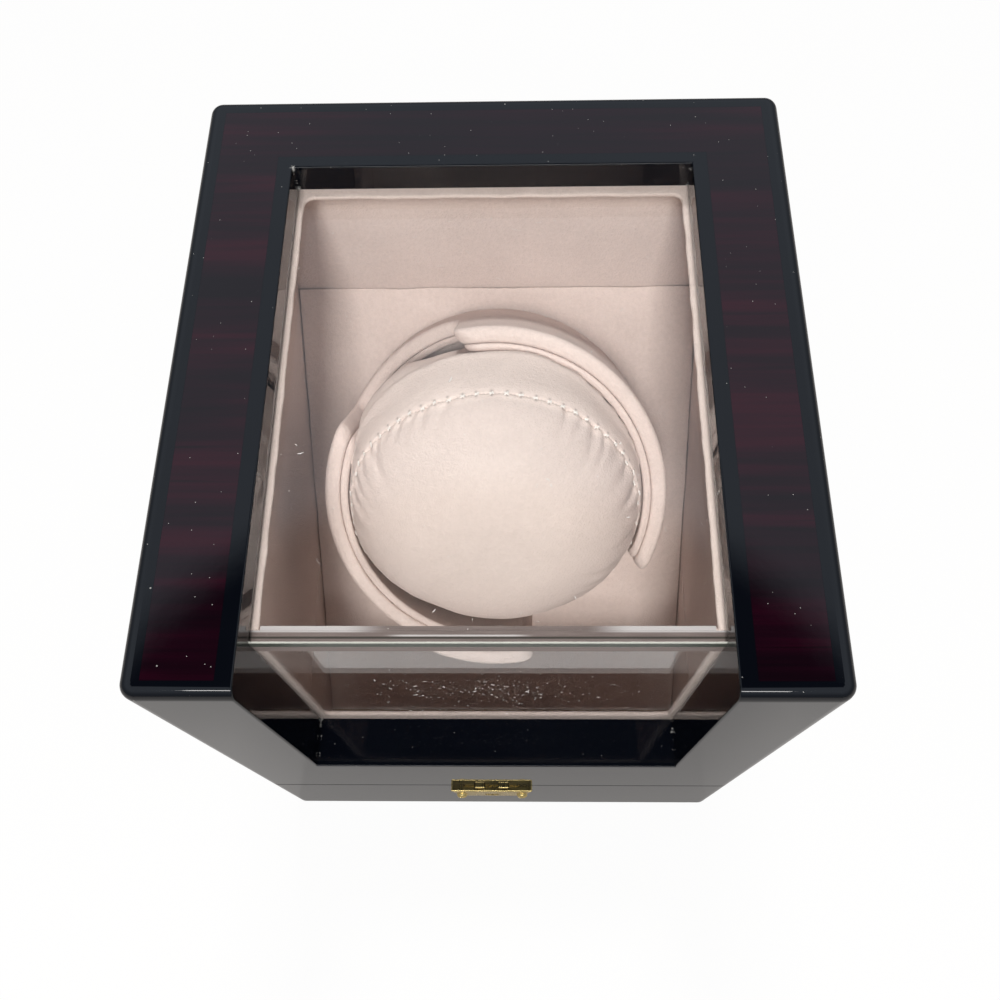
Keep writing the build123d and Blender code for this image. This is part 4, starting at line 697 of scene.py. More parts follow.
def base_linings():
    """The base's wall lining and floor card, and the felt under the case."""
    low, high, steps = 6.02, 49.33, 47
    corners = u_shape(73.46, (76.46, low), (-75.96, low))
    path = [straight(a, b, steps + 1)[:-1] for a, b in zip(corners, corners[1:])]
    path = np.concatenate([*path, corners[-1:]])
    facing = np.repeat([(1.0, 0, 0), (0, 1, 0), (-1, 0, 0)], (steps + 1, steps, steps), axis=0)
    facing[steps], facing[2 * steps] = (1, 1, 0), (-1, 1, 0)
    wall = card(path, path + (0, 0, high - low), facing, 1.44, 0.4, lines=24, seed=15)
    lay_suede("base_wall_suede", wall, "root", "base_wall_lining")
    edges = [straight((x, -74.45, low), (x, -54.9, low), 16) for x in (-71.95, 71.95)]
    floor = card(*edges, (0, 0, 1), 1.96, 0.5, soft=0.10, lines=64, seed=17)
    lay_suede("base_floor_suede", floor, "root", "base_floor_lining")
    turn, corner = np.linspace(0, math.pi / 2, 9), 4.0
    y_end, x_in = 84.5 + corner * np.sin(turn), corner * (1 - np.cos(turn))
    y = np.concatenate([-y_end[::-1], np.linspace(-80, 80, 41), y_end])
    x = 82.0 - np.concatenate([x_in[::-1], np.zeros(41), x_in])
    level = np.full_like(y, 0.02)
    pad = card(np.stack([-x, y, level], 1), np.stack([x, y, level], 1), (0, 0, 1), 0.96, 0.3,
               lines=48, seed=19)
    pad = settle(surface("base_felt", [pad]), "root", dark_felt, "dark_felt", "underside_felt")


def deck_cover_suede():
    """The deck's suede, stretched from its outline to the hole round the drum's bearing."""
    half, rear, hole, under, tiny = 71.70, 63.20, 10.0, -0.99, 1e-9
    foot = (6.05 - DRUM_FOOT[2] + 1.0 * math.cos(SLOPE)) / math.sin(SLOPE) + 0.9
    corners = [math.atan2(b, a) % math.tau for a in (-half, half) for b in (foot, rear)]
    turns = np.unique(np.concatenate([once_round(720), corners]))
    cosine, sine = np.cos(turns), np.sin(turns)
    to_side = half / np.maximum(np.abs(cosine), tiny)
    to_end = np.where(sine > 0, rear / np.maximum(sine, tiny), foot / np.minimum(sine, -tiny))
    outer = around_drum(np.minimum(to_side, to_end), turns, under)
    inner = around_drum(np.full_like(turns, hole), turns, under)
    sheet = card(outer, inner, AXLE, 0.97, 0.42, soft=0.16, closed=True, lines=72, seed=21,
                 wander=0.20)
    piece = lay_suede("deck_suede", sheet, "root", "deck_cover", loop_rows=True)
    width, length = 2 * half, rear - foot
    width * MM
    length * MM
    (width * length - math.pi * hole ** 2) * MM * MM


# ---------------------------------------------------------------- drum walls
# Level of the high walls' rim and of the low one, half a gap's width, the bend of its corners,
# and the radius in the middle of the walls; then where the middles of the two gaps lie.
RIM, LOW_RIM, GAP, BEND, MIDDLE = 56.2, 20.2, 22.8, 5.0, 53.0
GAP_TURNS = (math.radians(128.0), math.radians(308.0))


def rim_line():
    """The drum's open rim seen from outside, once round: offset across a gap, turn of that gap or
    of the point, height, way out of the wall across and up, and share of a run between gaps."""
    quarter = np.linspace(0, math.pi / 2, 9)
    side = np.linspace(RIM - BEND, LOW_RIM + BEND, 24)[1:-1]
    left = [np.concatenate(column) for column in zip(
        (-GAP - BEND + BEND * np.sin(quarter), RIM - BEND + BEND * np.cos(quarter),
         np.sin(quarter), np.cos(quarter)),
        (np.full_like(side, -GAP), side, np.ones_like(side), np.zeros_like(side)),
        (-GAP + BEND - BEND * np.cos(quarter), LOW_RIM + BEND - BEND * np.sin(quarter),
         np.cos(quarter), np.sin(quarter)))]
    floor = np.linspace(-GAP + BEND, GAP - BEND, 30)[1:-1]
    low = (floor, np.full_like(floor, LOW_RIM), np.zeros_like(floor), np.ones_like(floor))
    right = [-left[0][::-1], left[1][::-1], -left[2][::-1], left[3][::-1]]
    gap = [np.concatenate(column) for column in zip(left, low, right)]
    edge_turn = math.asin((GAP + BEND) / MIDDLE)
    run = np.linspace(0, 1, 112)[1:-1]
    zero, one = np.zeros_like(run), np.ones_like(run)
    pieces = []
    for turn in GAP_TURNS:
        pieces.append((gap[0], np.full_like(gap[0], turn), *gap[1:], np.zeros_like(gap[0])))
        swept = turn + edge_turn + (math.pi - 2 * edge_turn) * run
        pieces.append((zero, swept, RIM * one, zero, one, run))
    return [np.concatenate(column) for column in zip(*pieces)]


def drum_wall(section, foot_level, foot_radii, seed):
    """A padded wall of the drum: a section of radius and depth below the rim, carried along the
    rim, then both faces carried down to the foot. Depth runs square to the rim, so the wall's ends
    and corners are as rounded as its top. Along a run each radius spreads its own turns evenly."""
    offset, place, height, out_across, out_up, run = rim_line()
    radius, depth = np.asarray(section, float).T
    middle = len(radius) // 2
    sag = 0.10 * ripple(np.stack([offset, place * 40, height], 1), 14.0, seed)[:, None]
    sunk = depth + sag * np.clip(1 - depth / 2.2, 0, 1)
    across = offset[:, None] - out_across[:, None] * sunk
    level = height[:, None] - out_up[:, None] * sunk
    away = np.arcsin((GAP + BEND) / radius)
    start = np.where(place > GAP_TURNS[1], GAP_TURNS[1], GAP_TURNS[0])[:, None]
    on_run = start + away + (math.pi - 2 * away) * run[:, None]
    turn = np.where(run[:, None] > 0, on_run, place[:, None] + np.arcsin(across / radius))
    line = np.stack([np.unwrap(turn[:, middle]) * MIDDLE, height], 1)
    gaps = np.linalg.norm(np.roll(line, -1, 0) - line, axis=1)
    gaps[-1] = abs(line[0, 0] + math.tau * MIDDLE - line[-1, 0])
    steep = np.where(np.abs(out_across) > 0.5, 0.22, 1.0)
    travel = np.concatenate([[0], np.cumsum(gaps * steep)])
    foot_turn = turn[0, middle] + math.tau * travel[:-1] / travel[-1]
    share = np.linspace(0, 1, 11)[1:]

    def carried(column, foot_radius):
        """A face from the rim to its foot, whose turns even out on the way down."""
        top_turn, top = turn[:, column], level[:, column]
        top_turn = top_turn + math.tau * np.round((foot_turn - top_turn) / math.tau)
        swept = top_turn[:, None] + (foot_turn - top_turn)[:, None] * share ** 0.8
        return around_drum(foot_radius, swept, top[:, None] + (foot_level - top)[:, None] * share)

    outside, inside = carried(0, foot_radii[0])[:, ::-1], carried(-1, foot_radii[1])
    return np.concatenate([outside, around_drum(radius, turn, level), inside], 1)


def rounded_section(outer, inner, big, small, drop):
    """Radius and depth across a padded rim: a large round outside, a nearly flat top that crowns
    a little, a small round inside, then down to a drop."""
    turn = np.radians(np.linspace(0, 90, 10))
    crown = np.linspace(0, 1, 8)[1:-1]
    flat = outer - big + (inner + small - outer + big) * crown
    lead = [(outer, drop), (outer, (drop + big) / 2)]
    outside = np.stack([outer - big * (1 - np.cos(turn)), big * (1 - np.sin(turn))], 1)
    top = np.stack([flat, -0.12 * np.sin(np.pi * crown)], 1)
    inside = np.stack([inner + small * (1 - np.sin(turn)), small * (1 - np.cos(turn))], 1)
    tail = [(inner, (drop + small) / 2), (inner, drop)]
    return np.concatenate([lead, outside, top, inside, tail])


def drum_suede():
    """The drum's padded cover and lining, which meet in a groove along the rim, and its floor
    pad."""
    outer = rounded_section(55.95, 50.93, big=1.9, small=1.15, drop=2.15)
    outer = np.concatenate([outer, [(51.85, 2.15)]])
    cover = drum_wall(outer, foot_level=1.25, foot_radii=(55.95, 51.85), seed=31)
    cover = lay_suede("cup_cover_suede", cover, "drum", "cup_cover", loop_rows=True)
    inner = rounded_section(50.84, 48.25, big=0.9, small=0.95, drop=2.15) + (0.0, 0.40)
    inner = np.concatenate([[(49.94, 2.55)], inner])
    wall = drum_wall(inner, foot_level=5.45, foot_radii=(49.94, 48.25), seed=33)
    wall = lay_suede("cup_lining_suede", wall, "drum", "cup_lining", loop_rows=True)
    arc, corner, under = np.radians(np.linspace(0, 90, 7)), 0.9, 5.42
    top = np.concatenate([[0.0], np.linspace(4, 46.6, 16)])
    crown = 7.36 - 0.25 * np.linspace(0, 1, 17) ** 2
    radius = np.concatenate([top, 47.2 + corner * np.sin(arc)[1:], [47.6, 20.0, 0.0]])
    level = np.concatenate([crown, 6.46 + corner * np.cos(arc)[1:], [under, under, under]])
    pad = around_drum(radius[:, None], once_round(144), level[:, None])
    pad = lay_suede("cup_floor_suede", pad, "drum", "cup_floor_pad")


# ---------------------------------------------------------------- cushion
# The cushion leans in the drum by its tilt. ROOM is the cup's inner radius, less a little; CROWN
# and SHOULDER count the profile's points up to the seam, COLUMNS the points round the seam.
TILT = math.radians(21.0)
CUSHION_AXIS = AXLE * math.cos(TILT) - UPHILL * math.sin(TILT)
CUSHION_BACK = np.cross(CUSHION_AXIS, ACROSS)
SEAM_CENTRE = on_deck(0.0, -2.0, 64.2)
SEAM_RADIUS = 46.5
ROOM = 47.98
CROWN, SHOULDER = 60, 40
COLUMNS, STITCHES = 512, 68


def arc_to(start, heading, end, count):
    """Points of the arc that leaves start along a heading and ends at end, as complex numbers:
    start plus heading times radius times the turned unit less one, over i."""
    half = np.angle((end - start) / heading)
    radius = abs(end - start) / (2 * math.sin(half))
    turn = 2 * half * np.linspace(0, 1, count)
    return start + heading * radius * (np.exp(1j * turn) - 1) / 1j, heading * np.exp(2j * half)


def cushion_profile():
    """The cushion's half section, out from its axis and along it, from crown to back, and the
    travel to each of its points."""
    crown, heading = arc_to(0 + 17j, 1 + 0j, 36 + 11j, CROWN)
    shoulder, _ = arc_to(36 + 11j, heading, SEAM_RADIUS + 0j, SHOULDER)
    side, _ = arc_to(SEAM_RADIUS + 0j, np.exp(-1.25j), 47.3 - 8.5j, 24)
    rest = [np.linspace(first, last, count)[1:] for first, last, count in (
        (47.3 - 8.5j, 47.3 - 43.8j, 20), (47.3 - 43.8j, 39.1 - 52j, 8), (39.1 - 52j, 0 - 52j, 12))]
    profile = np.concatenate([crown, shoulder[1:], side[1:], *rest])
    return profile, np.concatenate([[0], np.cumsum(np.abs(np.diff(profile)))])


def spill(off, reach, level):
    """How far the cushion swells out over a low wall, between the high ones: a smooth hump across
    the gap that starts above the low rim, larger at the upper gap."""
    total = np.zeros_like(reach)
    for turn, much in zip(np.add(GAP_TURNS, (0.15, 0.0)), (3.7, 1.2)):
        way = ACROSS * math.cos(turn) + UPHILL * math.sin(turn)
        beside = np.abs(off @ np.cross(AXLE, way))
        facing = (off @ way > 0) & (reach > 20)
        total += much * np.where(facing, 1 - step_up(beside, 9.0, 21.0), 0.0)
    return total * step_up(level, 21.5, 33.0) * (1 - step_up(level, 44.0, 74.0))


def in_room(points, swell=False):
    """Points drawn in to the cup's round room: no further from the axle than its lining, no lower
    than its pad. Above the rim and over a low wall the room is wider; with swell the cushion's
    side fills it."""
    local = points - DRUM_FOOT
    level = local @ AXLE
    off = local - level[..., None] * AXLE
    reach = np.linalg.norm(off, axis=-1)
    wider = spill(off, reach, level)
    if swell:
        off = off * (1 + wider * step_up(reach, 30.0, 44.0) / np.maximum(reach, 1e-6))[..., None]
        reach = np.linalg.norm(off, axis=-1)
    over_rim = 2.6 * step_up(level, 55.8, 59.0)
    scale = np.minimum(1.0, (ROOM + np.hypot(wider, over_rim)) / np.maximum(reach, 1e-6))
    return DRUM_FOOT + off * scale[..., None] + np.maximum(level, 7.85)[..., None] * AXLE


def cushion_grid(travel, turns, shrink=0.0):
    """The cushion turned about its own axis, at travels from the crown's middle; shrink draws it
    in towards its middle."""
    profile, length = cushion_profile()
    middle = -17.5
    out = np.interp(travel, length, profile.real) * (1 - shrink / 47.0)
    along = middle + (np.interp(travel, length, profile.imag) - middle) * (1 - shrink / 34.0)
    angle = once_round(turns)[:, None]
    way = 1.042 * np.cos(angle) * ACROSS + np.sin(angle) * CUSHION_BACK
    return SEAM_CENTRE + out[:, None, None] * way + along[:, None, None] * CUSHION_AXIS


def about_cushion(spots):
    """How far spots lie along the cushion's axis from its seam, and how far out from that axis."""
    local = spots - SEAM_CENTRE
    along = local @ CUSHION_AXIS
    return along, np.linalg.norm(local - along[:, None] * CUSHION_AXIS, axis=1)


def read_points(obj):
    """A mesh object's points after its modifiers, in millimetres."""
    seen = obj.evaluated_get(bpy.context.evaluated_depsgraph_get()).data
    flat = np.empty(len(seen.vertices) * 3, np.float32)
    seen.vertices.foreach_get("co", flat)
    return flat.reshape(-1, 3).astype(float) / MM


def puffed(coarse, held, pressure, cap, voxel, frames=20):
    """Puff a closed mesh: an even remesh, cloth with air in it for some frames, and no point moved
    further than the cap; held(points) says where the cloth is sewn or rests."""
    scene = bpy.context.scene
    even = coarse.modifiers.new("even", "REMESH")
    even.mode, even.voxel_size = "VOXEL", voxel * MM
    seen = coarse.evaluated_get(bpy.context.evaluated_depsgraph_get())
    mesh = bpy.data.meshes.new_from_object(seen)
    coarse.modifiers.clear()
    coarse.data = mesh
    before = read_points(coarse)
    group = coarse.vertex_groups.new(name="held")
    group.add(np.flatnonzero(held(before)).tolist(), 1.0, "REPLACE")
    cloth = coarse.modifiers.new("cloth", "CLOTH")
    cloth.settings.use_pressure = True
    cloth.settings.uniform_pressure_force = pressure
    cloth.settings.vertex_group_mass = "held"
    cloth.settings.effector_weights.gravity = 0.0
    cloth.settings.quality = 6
    cloth.collision_settings.use_collision = False
    cloth.point_cache.frame_start, cloth.point_cache.frame_end = 1, frames
    for moment in range(1, frames + 1):
        scene.frame_set(moment)
    move = read_points(coarse) - before
    far = np.linalg.norm(move, axis=1)
    after = before + move * np.minimum(1, cap / np.maximum(far, 1e-6))[:, None]
    coarse.modifiers.clear()
    coarse.data.vertices.foreach_set("co", (after * MM).astype(np.float32).ravel())
    coarse.data.update()
    scene.frame_set(1)


def puffed_places(points, length):
    """Where the cushion's points lie once its cover is puffed: a coarse copy is puffed as cloth
    and smoothed, the fine grid is laid on it, and the moves are evened out."""
    start = cushion_grid(np.linspace(0, length, 64), 96, shrink=1.6)
    coarse = surface("cushion_cloth", [in_room(start, swell=True)])

    def held(spots):
        """At the seam, and low in the cup."""
        along, out = about_cushion(spots)
        return (np.abs(along) < 2.6) & (out > 41) | ((spots - DRUM_FOOT) @ AXLE < 24)

    puffed(coarse, held, pressure=4.0, cap=3.2, voxel=4.0)
    coarse.modifiers.new("smooth", "SUBSURF").levels = 2
    fine = surface("cushion_fine", [points], weld=False)
    lay = fine.modifiers.new("laid", "SHRINKWRAP")
    lay.target, lay.wrap_method = coarse, "TARGET_PROJECT"
    move = read_points(fine).reshape(points.shape) - points
    for _ in range(10):
        move[1:-1] = (move[:-2] + 2 * move[1:-1] + move[2:]) / 4
        move = (np.roll(move, 1, 1) + 2 * move + np.roll(move, -1, 1)) / 4
    for spare in (coarse, fine):
        bpy.data.objects.remove(spare)
    return closed_poles(points + move)


def closed_poles(points):
    """A grid whose first and last rows are drawn together."""
    points[0], points[-1] = points[0].mean(0), points[-1].mean(0)
    return points


def grid_normals(points):
    """Unit normals over a grid whose columns close, from the differences of its neighbours."""
    down = np.gradient(points, axis=0)
    along = np.roll(points, -1, 1) - np.roll(points, 1, 1)
    return unit(np.cross(down, along))


def gathers(angle, off_seam):
    """Depth of the gathers at the seam: short folds all round, and long slanted ones where the
    cloth bunches at the right and the left, each fading away from the seam over its length."""
    rng = np.random.default_rng(7)
    short, right, left = 64, 15, 12
    count = short + right + left
    spots = np.radians(np.concatenate([
        rng.uniform(0, 360, short), np.linspace(-34, 62, right) + rng.normal(0, 1.6, right),
        np.linspace(106, 178, left) + rng.normal(0, 1.6, left),
    ]) % 360)
    big = np.repeat((0.0, 1.0, 0.8), (short, right, left))
    length = rng.uniform(2.5, 6.0, count) + big * rng.uniform(9, 22, count)
    width = rng.uniform(0.6, 1.1, count) + big * rng.uniform(0.4, 1.0, count)
    depth = rng.uniform(0.06, 0.22, count) + big * rng.uniform(0.40, 1.05, count)
    lean = np.concatenate([np.zeros(short), np.linspace(-0.8, -0.15, right), np.full(left, 0.5)])
    slant = lean + rng.normal(0, 0.2, count)
    side = np.where(rng.uniform(size=count) < 0.66 + big, 1.0, -1.0)
    total = np.zeros((len(off_seam), len(angle)))
    for k, spot in enumerate(spots):
        off = off_seam * side[k]
        reach = np.clip(off, 0, None) / length[k]
        fade = np.where(off > -0.3, np.clip(1 - reach, 0, 1) ** 1.5, 0)
        swing = (np.remainder(angle - spot + math.pi, math.tau) - math.pi) * SEAM_RADIUS
        line = swing - (slant[k] * off)[:, None]
        total += depth[k] * fade[:, None] * bell(line, (width[k] * (1 + 0.9 * reach))[:, None])
    return total


def seam_relief(angle, off_seam):
    """How far the cover stands out: sunk along the seam, more between two stitches, and in the
    gathers, raised beside the seam, and drooping over it in front."""
    beat = np.abs(np.remainder(angle * STITCHES / math.tau + 0.5, 1.0) - 0.5)
    hole = bell(beat * math.tau * SEAM_RADIUS / STITCHES, 0.55)
    off = off_seam[:, None]
    sunk = 0.12 * bell(off, 0.95) + 0.30 * bell(off, 0.35) * (1 - hole)
    raised = 0.07 * bell(np.abs(off) - 2.6, 1.5) * (1 - 0.7 * hole)
    low_side = np.remainder(np.degrees(angle) + 180, 360) - 180
    droop = 0.9 * bell(low_side + 84, 11) * bell(off - 4, 15)
    return raised + droop - sunk - gathers(angle, off_seam)


def paint_cushion_shade(piece, points, off_seam, seam_row):
    """Keep on the cushion where its colour is painted darker: painted shade in the needle holes, 1 mm to either
    side of the seam, and along the seam's line, and painted shade over the crown's rim, darker towards the seam
    and on the right."""
    spots = read_points(piece)
    columns = (np.arange(STITCHES) * COLUMNS / STITCHES).round().astype(int) % COLUMNS
    rows = [int(np.argmin(np.abs(off_seam - off))) for off in (-1.0, 1.0)]

    def dark_near(others, strength, width):
        gap = np.min(np.linalg.norm(spots[:, None] - others, axis=-1), axis=1)
        return strength * bell(gap, width)

    # Painted shade at the needle holes and along the seam line.
    painted_hole_shade = dark_near(points[rows][:, columns].reshape(-1, 3), 0.75, 0.45)
    painted_seam_line_shade = dark_near(points[seam_row][::2], 0.42, 0.42)
    along, out = about_cushion(spots)
    # Painted shade over the crown's rim, darker towards the seam and on the right.
    worn = step_up(out, 20.0, 47.0) * step_up(along, 0.4, 2.4)
    worn = worn * (0.27 + 0.10 * (spots - SEAM_CENTRE)[:, 0] / 47.0)
    for name, value in (("needle", np.maximum(painted_hole_shade, painted_seam_line_shade)), ("worn", worn)):
        mark = piece.data.attributes.new(name, "FLOAT", "POINT")
        mark.data.foreach_set("value", value.astype(np.float32))


def sewn_cushion():
    """The sewn cushion: puffed as cloth, then laid on a fine grid for its seam and its gathers."""
    _, length = cushion_profile()
    seam, back = length[CROWN + SHOULDER - 2], length[-1]
    stops = (0, seam - 12, seam - 3, seam + 3, seam + 12, back - 39, back)
    travel = [np.linspace(first, last, count)[:-1] for first, last, count in zip(
        stops, stops[1:], (58, 34, 42, 26, 24, 10))]
    travel = np.concatenate([*travel, [back]])
    points = in_room(cushion_grid(travel, COLUMNS), swell=True)
    points = puffed_places(points, back)
    angle, off_seam = once_round(COLUMNS), seam - travel
    normal = grid_normals(points)
    slack = np.clip((travel - 4) / 20, 0, 1) * np.clip((back - 45 - travel) / 20, 0, 1)
    slack = 0.30 * ripple(points, 30.0, 41) * slack[:, None]
    height = seam_relief(angle, off_seam) + slack - 0.25
    points = in_room(closed_poles(points + normal * height[..., None]))
    seam_row = int(np.argmin(np.abs(off_seam)))
    piece = surface("cushion_suede", [points], sharp=75.0)
    paint_cushion_shade(piece, points, off_seam, seam_row)
    settle(piece, "cushion", cushion_suede, "cushion_suede", "cushion")
    seam_stitches(points[seam_row], normal[seam_row])


def seam_stitches(ring, out):
    """Stitches along the seam: two short threads that cross at each stitch, every thread a
    six-sided tube closed at its ends."""

    def at(turn):
        """Place and normal on the seam at a share of its round."""
        spot = np.remainder(turn, 1.0) * COLUMNS
        low = np.floor(spot).astype(int) % COLUMNS
        part = (spot - np.floor(spot))[..., None]
        return [line[low] + (line[(low + 1) % COLUMNS] - line[low]) * part for line in (ring, out)]

    first = np.arange(STITCHES) / STITCHES
    hole, up = at(first)
    ahead = unit(at(first + 0.2 / STITCHES)[0] - hole)
    aside = np.cross(up, ahead)
    reach = np.linspace(-1, 1, 9)
    middle_lift, drop = 0.26, 0.16
    lift = middle_lift - drop * reach ** 2
    rng = np.random.default_rng(3)
    crossing = []
    for lean in (-1, 1):
        tilt = lean * rng.uniform(0.75, 1.2, STITCHES)[:, None]
        way = aside * np.cos(tilt) + ahead * np.sin(tilt)
        half = rng.uniform(0.7, 1.1, STITCHES)[:, None]
        crossing.append(hole[:, None] + way[:, None] * (half * reach)[..., None]
                        + up[:, None] * lift[:, None])
    piece = surface("seam_thread", [tubes(np.concatenate(crossing), 0.24)])
    settle(piece, "cushion", stitch_thread, "cushion_suede")


def tubes(lines, radius, sides=6):
    """Closed tubes along many lines of points at once: a ring square to each line at each point,
    shrunk to nothing at both ends."""
    ahead = unit(np.gradient(lines, axis=1))
    aside = unit(np.cross(ahead, (0.31, 0.47, 0.83)))
    over = np.cross(ahead, aside)
    thick = np.full(lines.shape[1], radius)
    thick[0] = thick[-1] = 0.0
    turn = once_round(sides)[:, None]
    ring = np.cos(turn) * aside[:, :, None] + np.sin(turn) * over[:, :, None]
    return lines[:, :, None] + thick[:, None, None] * ring


# ---------------------------------------------------------------- screws
def cross_screws(places, axis, head, height, length, radius):
    """Turned screws: a domed head of a radius and a height, then a threaded shank to a point. The
    thread is a ridge that climbs with the turn, and the drive is a cross cut into the dome."""
    axis = np.asarray(axis, float)
    side = unit(np.cross(axis, (0.23, 0.31, 0.92)))
    turn, share = once_round(48), np.linspace(0, 1, 26)
    depth = np.linspace(0, length, 64)[1:, None]
    pitch = 0.42 * radius + 0.25
    ridge = np.abs(np.remainder(turn / math.tau - depth / pitch, 1.0) - 0.5) * 2
    shank = radius * (0.8 + 0.2 * ridge) * np.clip((length - depth) / (0.25 * length), 0, 1)
    dome = head * share[:, None] * np.ones(48)
    under = np.full((2, 48), head) * ((1.0,), (0.5,))
    out = np.concatenate([dome, under, shank])
    level = height * np.sqrt(np.clip(1 - share ** 2.6, 0, 1))
    level = np.concatenate([level[:, None], np.zeros((2, 1)), -depth])
    x, y = out * np.cos(turn), out * np.sin(turn)
    half, deep, reach, soft = 0.20, 0.45, 0.62 * head, 0.10
    bars = [np.clip((half - np.abs(a)) / soft + 0.5, 0, 1) * (np.abs(b) < reach)
            for a, b in ((x, y), (y, x))]
    on_dome = (np.arange(len(out)) < len(dome))[:, None]
    level = level - deep * np.maximum(*bars) * on_dome
    local = x[..., None] * side + y[..., None] * np.cross(axis, side) + level[..., None] * axis
    return np.asarray(places, float)[:, None, None] + local


# ---------------------------------------------------------------- lint
def flecks(place, largest, rng):
    """Flattened eight-sided grains at places on a level surface, a few of them drawn out."""
    count = len(place)
    size = (0.045 + largest * rng.uniform(size=count) ** 3)[:, None, None]
    drawn = np.where(rng.uniform(size=count) < 0.22, rng.uniform(3, 8, count), 1.0)
    way = rng.uniform(0, math.pi, count)[:, None, None]
    long = size * drawn[:, None, None]
    turn = once_round(8)
    radius, level = np.array(((0.0, 0.8, 1.0, 0.0), (0.7, 0.5, 0.0, 0.0)))[..., None]
    x = radius * np.cos(turn) * long
    y = radius * np.sin(turn) * size + 0.25 * (x / long) ** 2 * long
    cos, sin = np.cos(way), np.sin(way)
    grains = np.stack([x * cos - y * sin, x * sin + y * cos, level * size + 0 * x], -1)
    return place[:, None, None] + grains


def lint():
    """Dust and fine hairs on the top pane, and dust on the front pane, thickest in its middle."""
    rng = np.random.default_rng(11)
    dust, hairs, steps, strewn, middle = 260, 18, 14, 170, 330
    pane_top, hair_level, pane_front = 180.27, 180.31, -75.96
    top = np.stack([rng.uniform(-56.5, 56.5, dust), rng.uniform(-74, 62, dust),
                    np.full(dust, pane_top)], 1)
    ends = rng.uniform((-52, -66), (52, 55), (hairs, 2))[:, None]
    share = np.linspace(0, 1, steps)
    start, bend = rng.uniform(0, math.tau, hairs), rng.uniform(-2.6, 2.6, hairs)
    heading = start[:, None] + bend[:, None] * share
    step = rng.uniform(1.2, 3.6, hairs)[:, None] / steps
    lines = ends + np.cumsum(np.stack([np.cos(heading) * step, np.sin(heading) * step], -1), 1)
    lines = np.concatenate([lines, np.full((hairs, steps, 1), hair_level)], -1)
    across = np.concatenate([rng.uniform(-50, 50, strewn), rng.normal(-1, 15, middle)])
    height = np.concatenate([rng.uniform(98, 156, strewn), rng.normal(131, 9, middle)])
    front = np.stack([np.clip(across, -52, 52), np.clip(height, 96, 160), 0 * across], 1)
    front = flecks(front, 0.13, rng)
    front = np.stack([front[..., 0], pane_front - front[..., 2], front[..., 1]], -1)
    grids = [flecks(top, 0.11, rng), tubes(lines, 0.035), front]
    settle(surface("glass_lint", grids), "lid", lint_fluff, "suede")


# ---------------------------------------------------------------- ground edges of the panes, with painted light
def bar(section, half):
    """A thin closed bar: a section of depth and height carried across, shrunk shut at both ends."""
    section = np.asarray(section, float)
    middle = np.broadcast_to(section.mean(0), section.shape)
    rows = [(-half, middle), (-half, section), (half, section), (half, middle)]
    return np.stack([np.column_stack([np.full(len(ring), x), ring]) for x, ring in rows])


def ground_edges_and_painted_light():
    """The frosted skins of the ground ends: the top pane's arris and end face; the front pane's end face below it,
    drawn down on the front pane as a strip of painted shade; and the top pane's hidden underside and the bead of
    clear glue behind, which carry a painted see-through tone of the suede, a painted highlight and painted
    reflection streaks. They cast no shadow, because light passes the real ones."""
    arris = [(-75.965, 179.90), (-75.605, 180.265), (-75.60, 180.255), (-75.955, 179.895)]
    end = [(-75.975, 176.32), (-75.975, 179.88), (-75.958, 179.88), (-75.958, 176.32)]
    # Painted shade: a dark strip on the front pane below the top pane's end face.
    painted_light_below = [(-75.975, 173.10), (-75.975, 176.24), (-75.958, 176.24), (-75.958, 173.10)]
    # This strip and the glue bead carry the painted see-through tone, highlight and reflection streaks.
    painted_light_upper = [(-75.90, 176.262), (-72.05, 176.262), (-72.05, 176.288), (-75.90, 176.288)]
    bead = [(-71.97, 176.26), (-70.85, 176.27), (-71.25, 175.75), (-71.97, 175.10)]
    bars = [bar(section, 65.2) for section in (arris, end, painted_light_below, painted_light_upper)] + [bar(bead, 56.0)]
    piece = surface("ground_edges_and_painted_light", bars, sharp=20.0)
    piece.visible_shadow = False
    settle(piece, "lid", ground_glass_and_painted_light, "clear_glass")


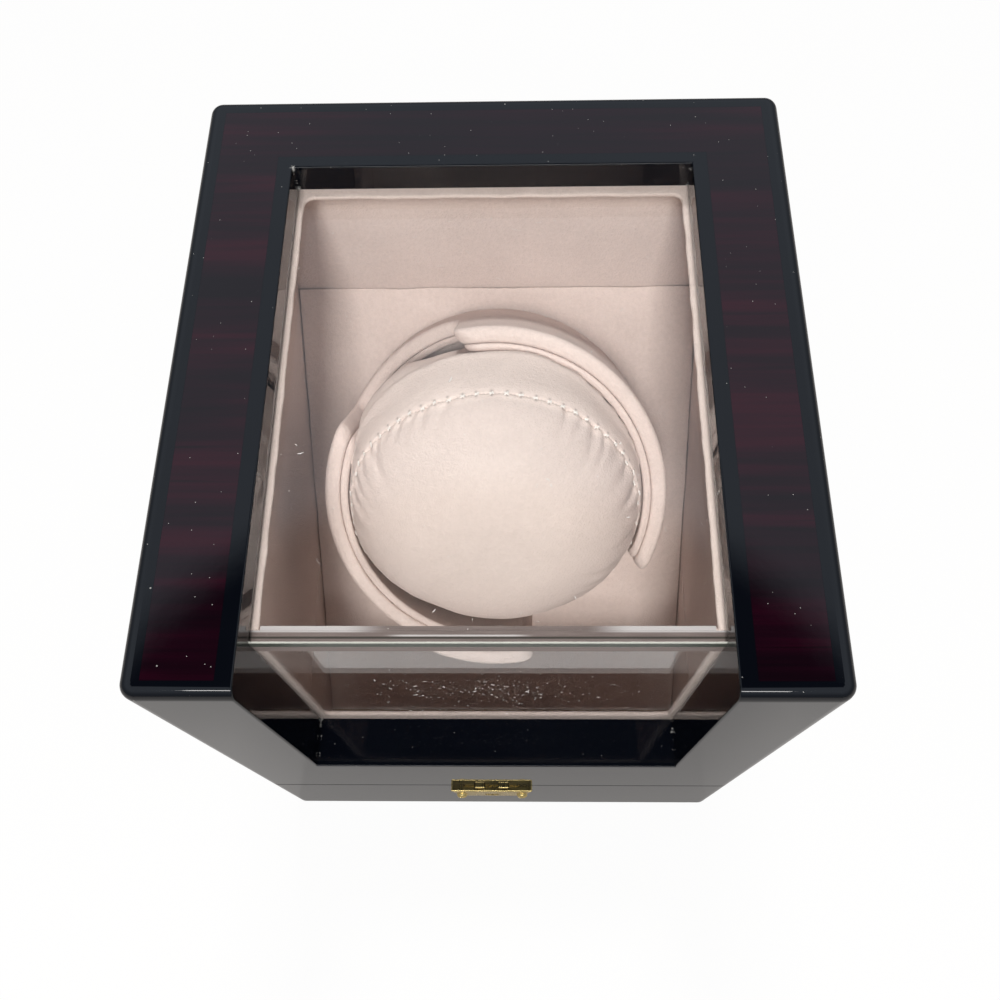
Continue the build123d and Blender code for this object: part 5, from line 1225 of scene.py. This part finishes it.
# ---------------------------------------------------------------- build
set_camera()
bpy.context.scene.view_settings.view_transform = "Standard"
studio_world()
studio_floor()
warm = (1.0, 0.975, 0.955)
studio_lamp("front strip lamp", (-0.04, -0.95, 0.98), (0, 0, 0.15), 0.9, 0.08, 17.0,
            (1.0, 0.98, 0.96), mirrored=True)
studio_lamp("main softbox", (-0.05, -1.02, 1.40), (0, 0.01, 0.12), 0.30, 0.30, 75.0, warm)
studio_lamp("rear softbox", (-0.03, 0.60, 1.45), (0, 0.01, 0.12), 0.30, 0.30, 38.0, warm)

lining_suede = suede("lining_suede", (0.67, 0.555, 0.51), (0.81, 0.685, 0.635))
cushion_suede = suede("cushion_cover_suede", (0.75, 0.635, 0.585), (0.87, 0.745, 0.69), sewn=True)
brass = metal("polished_brass", (0.50, 0.37, 0.12), (0.82, 0.63, 0.27), 0.24)
by_slot = {
    "black_lacquer": black_lacquer, "streaked_veneer": streaked_veneer,
    "clear_glass": clear_glass, "suede": lining_suede, "cushion_suede": cushion_suede,
    "dark_felt": dark_felt, "raw_board": raw_board, "polished_brass": brass,
    "screw_steel": metal("screw_steel", (0.42, 0.42, 0.43), (0.66, 0.66, 0.67), 0.22),
    "black_plastic": moulded("black_plastic", (0.012, 0.012, 0.013), (0.030, 0.030, 0.032),
                             0.42, 0.05),
    "bearing_plastic": moulded("bearing_plastic", (0.74, 0.73, 0.69), (0.88, 0.87, 0.83), 0.36),
    "gear_plastic": moulded("gear_plastic", (0.78, 0.76, 0.66), (0.90, 0.88, 0.80), 0.34),
    "green_board": circuit_board,
}

chamber_linings()
base_linings()
deck_cover_suede()
drum_suede()
sewn_cushion()
lint()
ground_edges_and_painted_light()
catch_places = [(x, -93.7, 41.0) for x in (-2.5 - 11.2, -2.5 + 11.2)]
catch_screws = cross_screws(catch_places, (0, -1, 0), head=2.0, height=1.3, length=8.6,
                            radius=1.05)
catch_screws = surface("catch_screw_heads", [catch_screws])
settle(catch_screws, "root", brass, "polished_brass", "catch_screws")


def dress(node, material):
    """Give a CAD piece one material."""
    node.data.materials.clear()
    node.data.materials.append(material)


for part in frame["record"]["subparts"]:
    dress(frame["nodes"][part["node"]], by_slot[part["material_slot"]])
dress(frame["nodes"]["selector_knob"], knob_plastic)
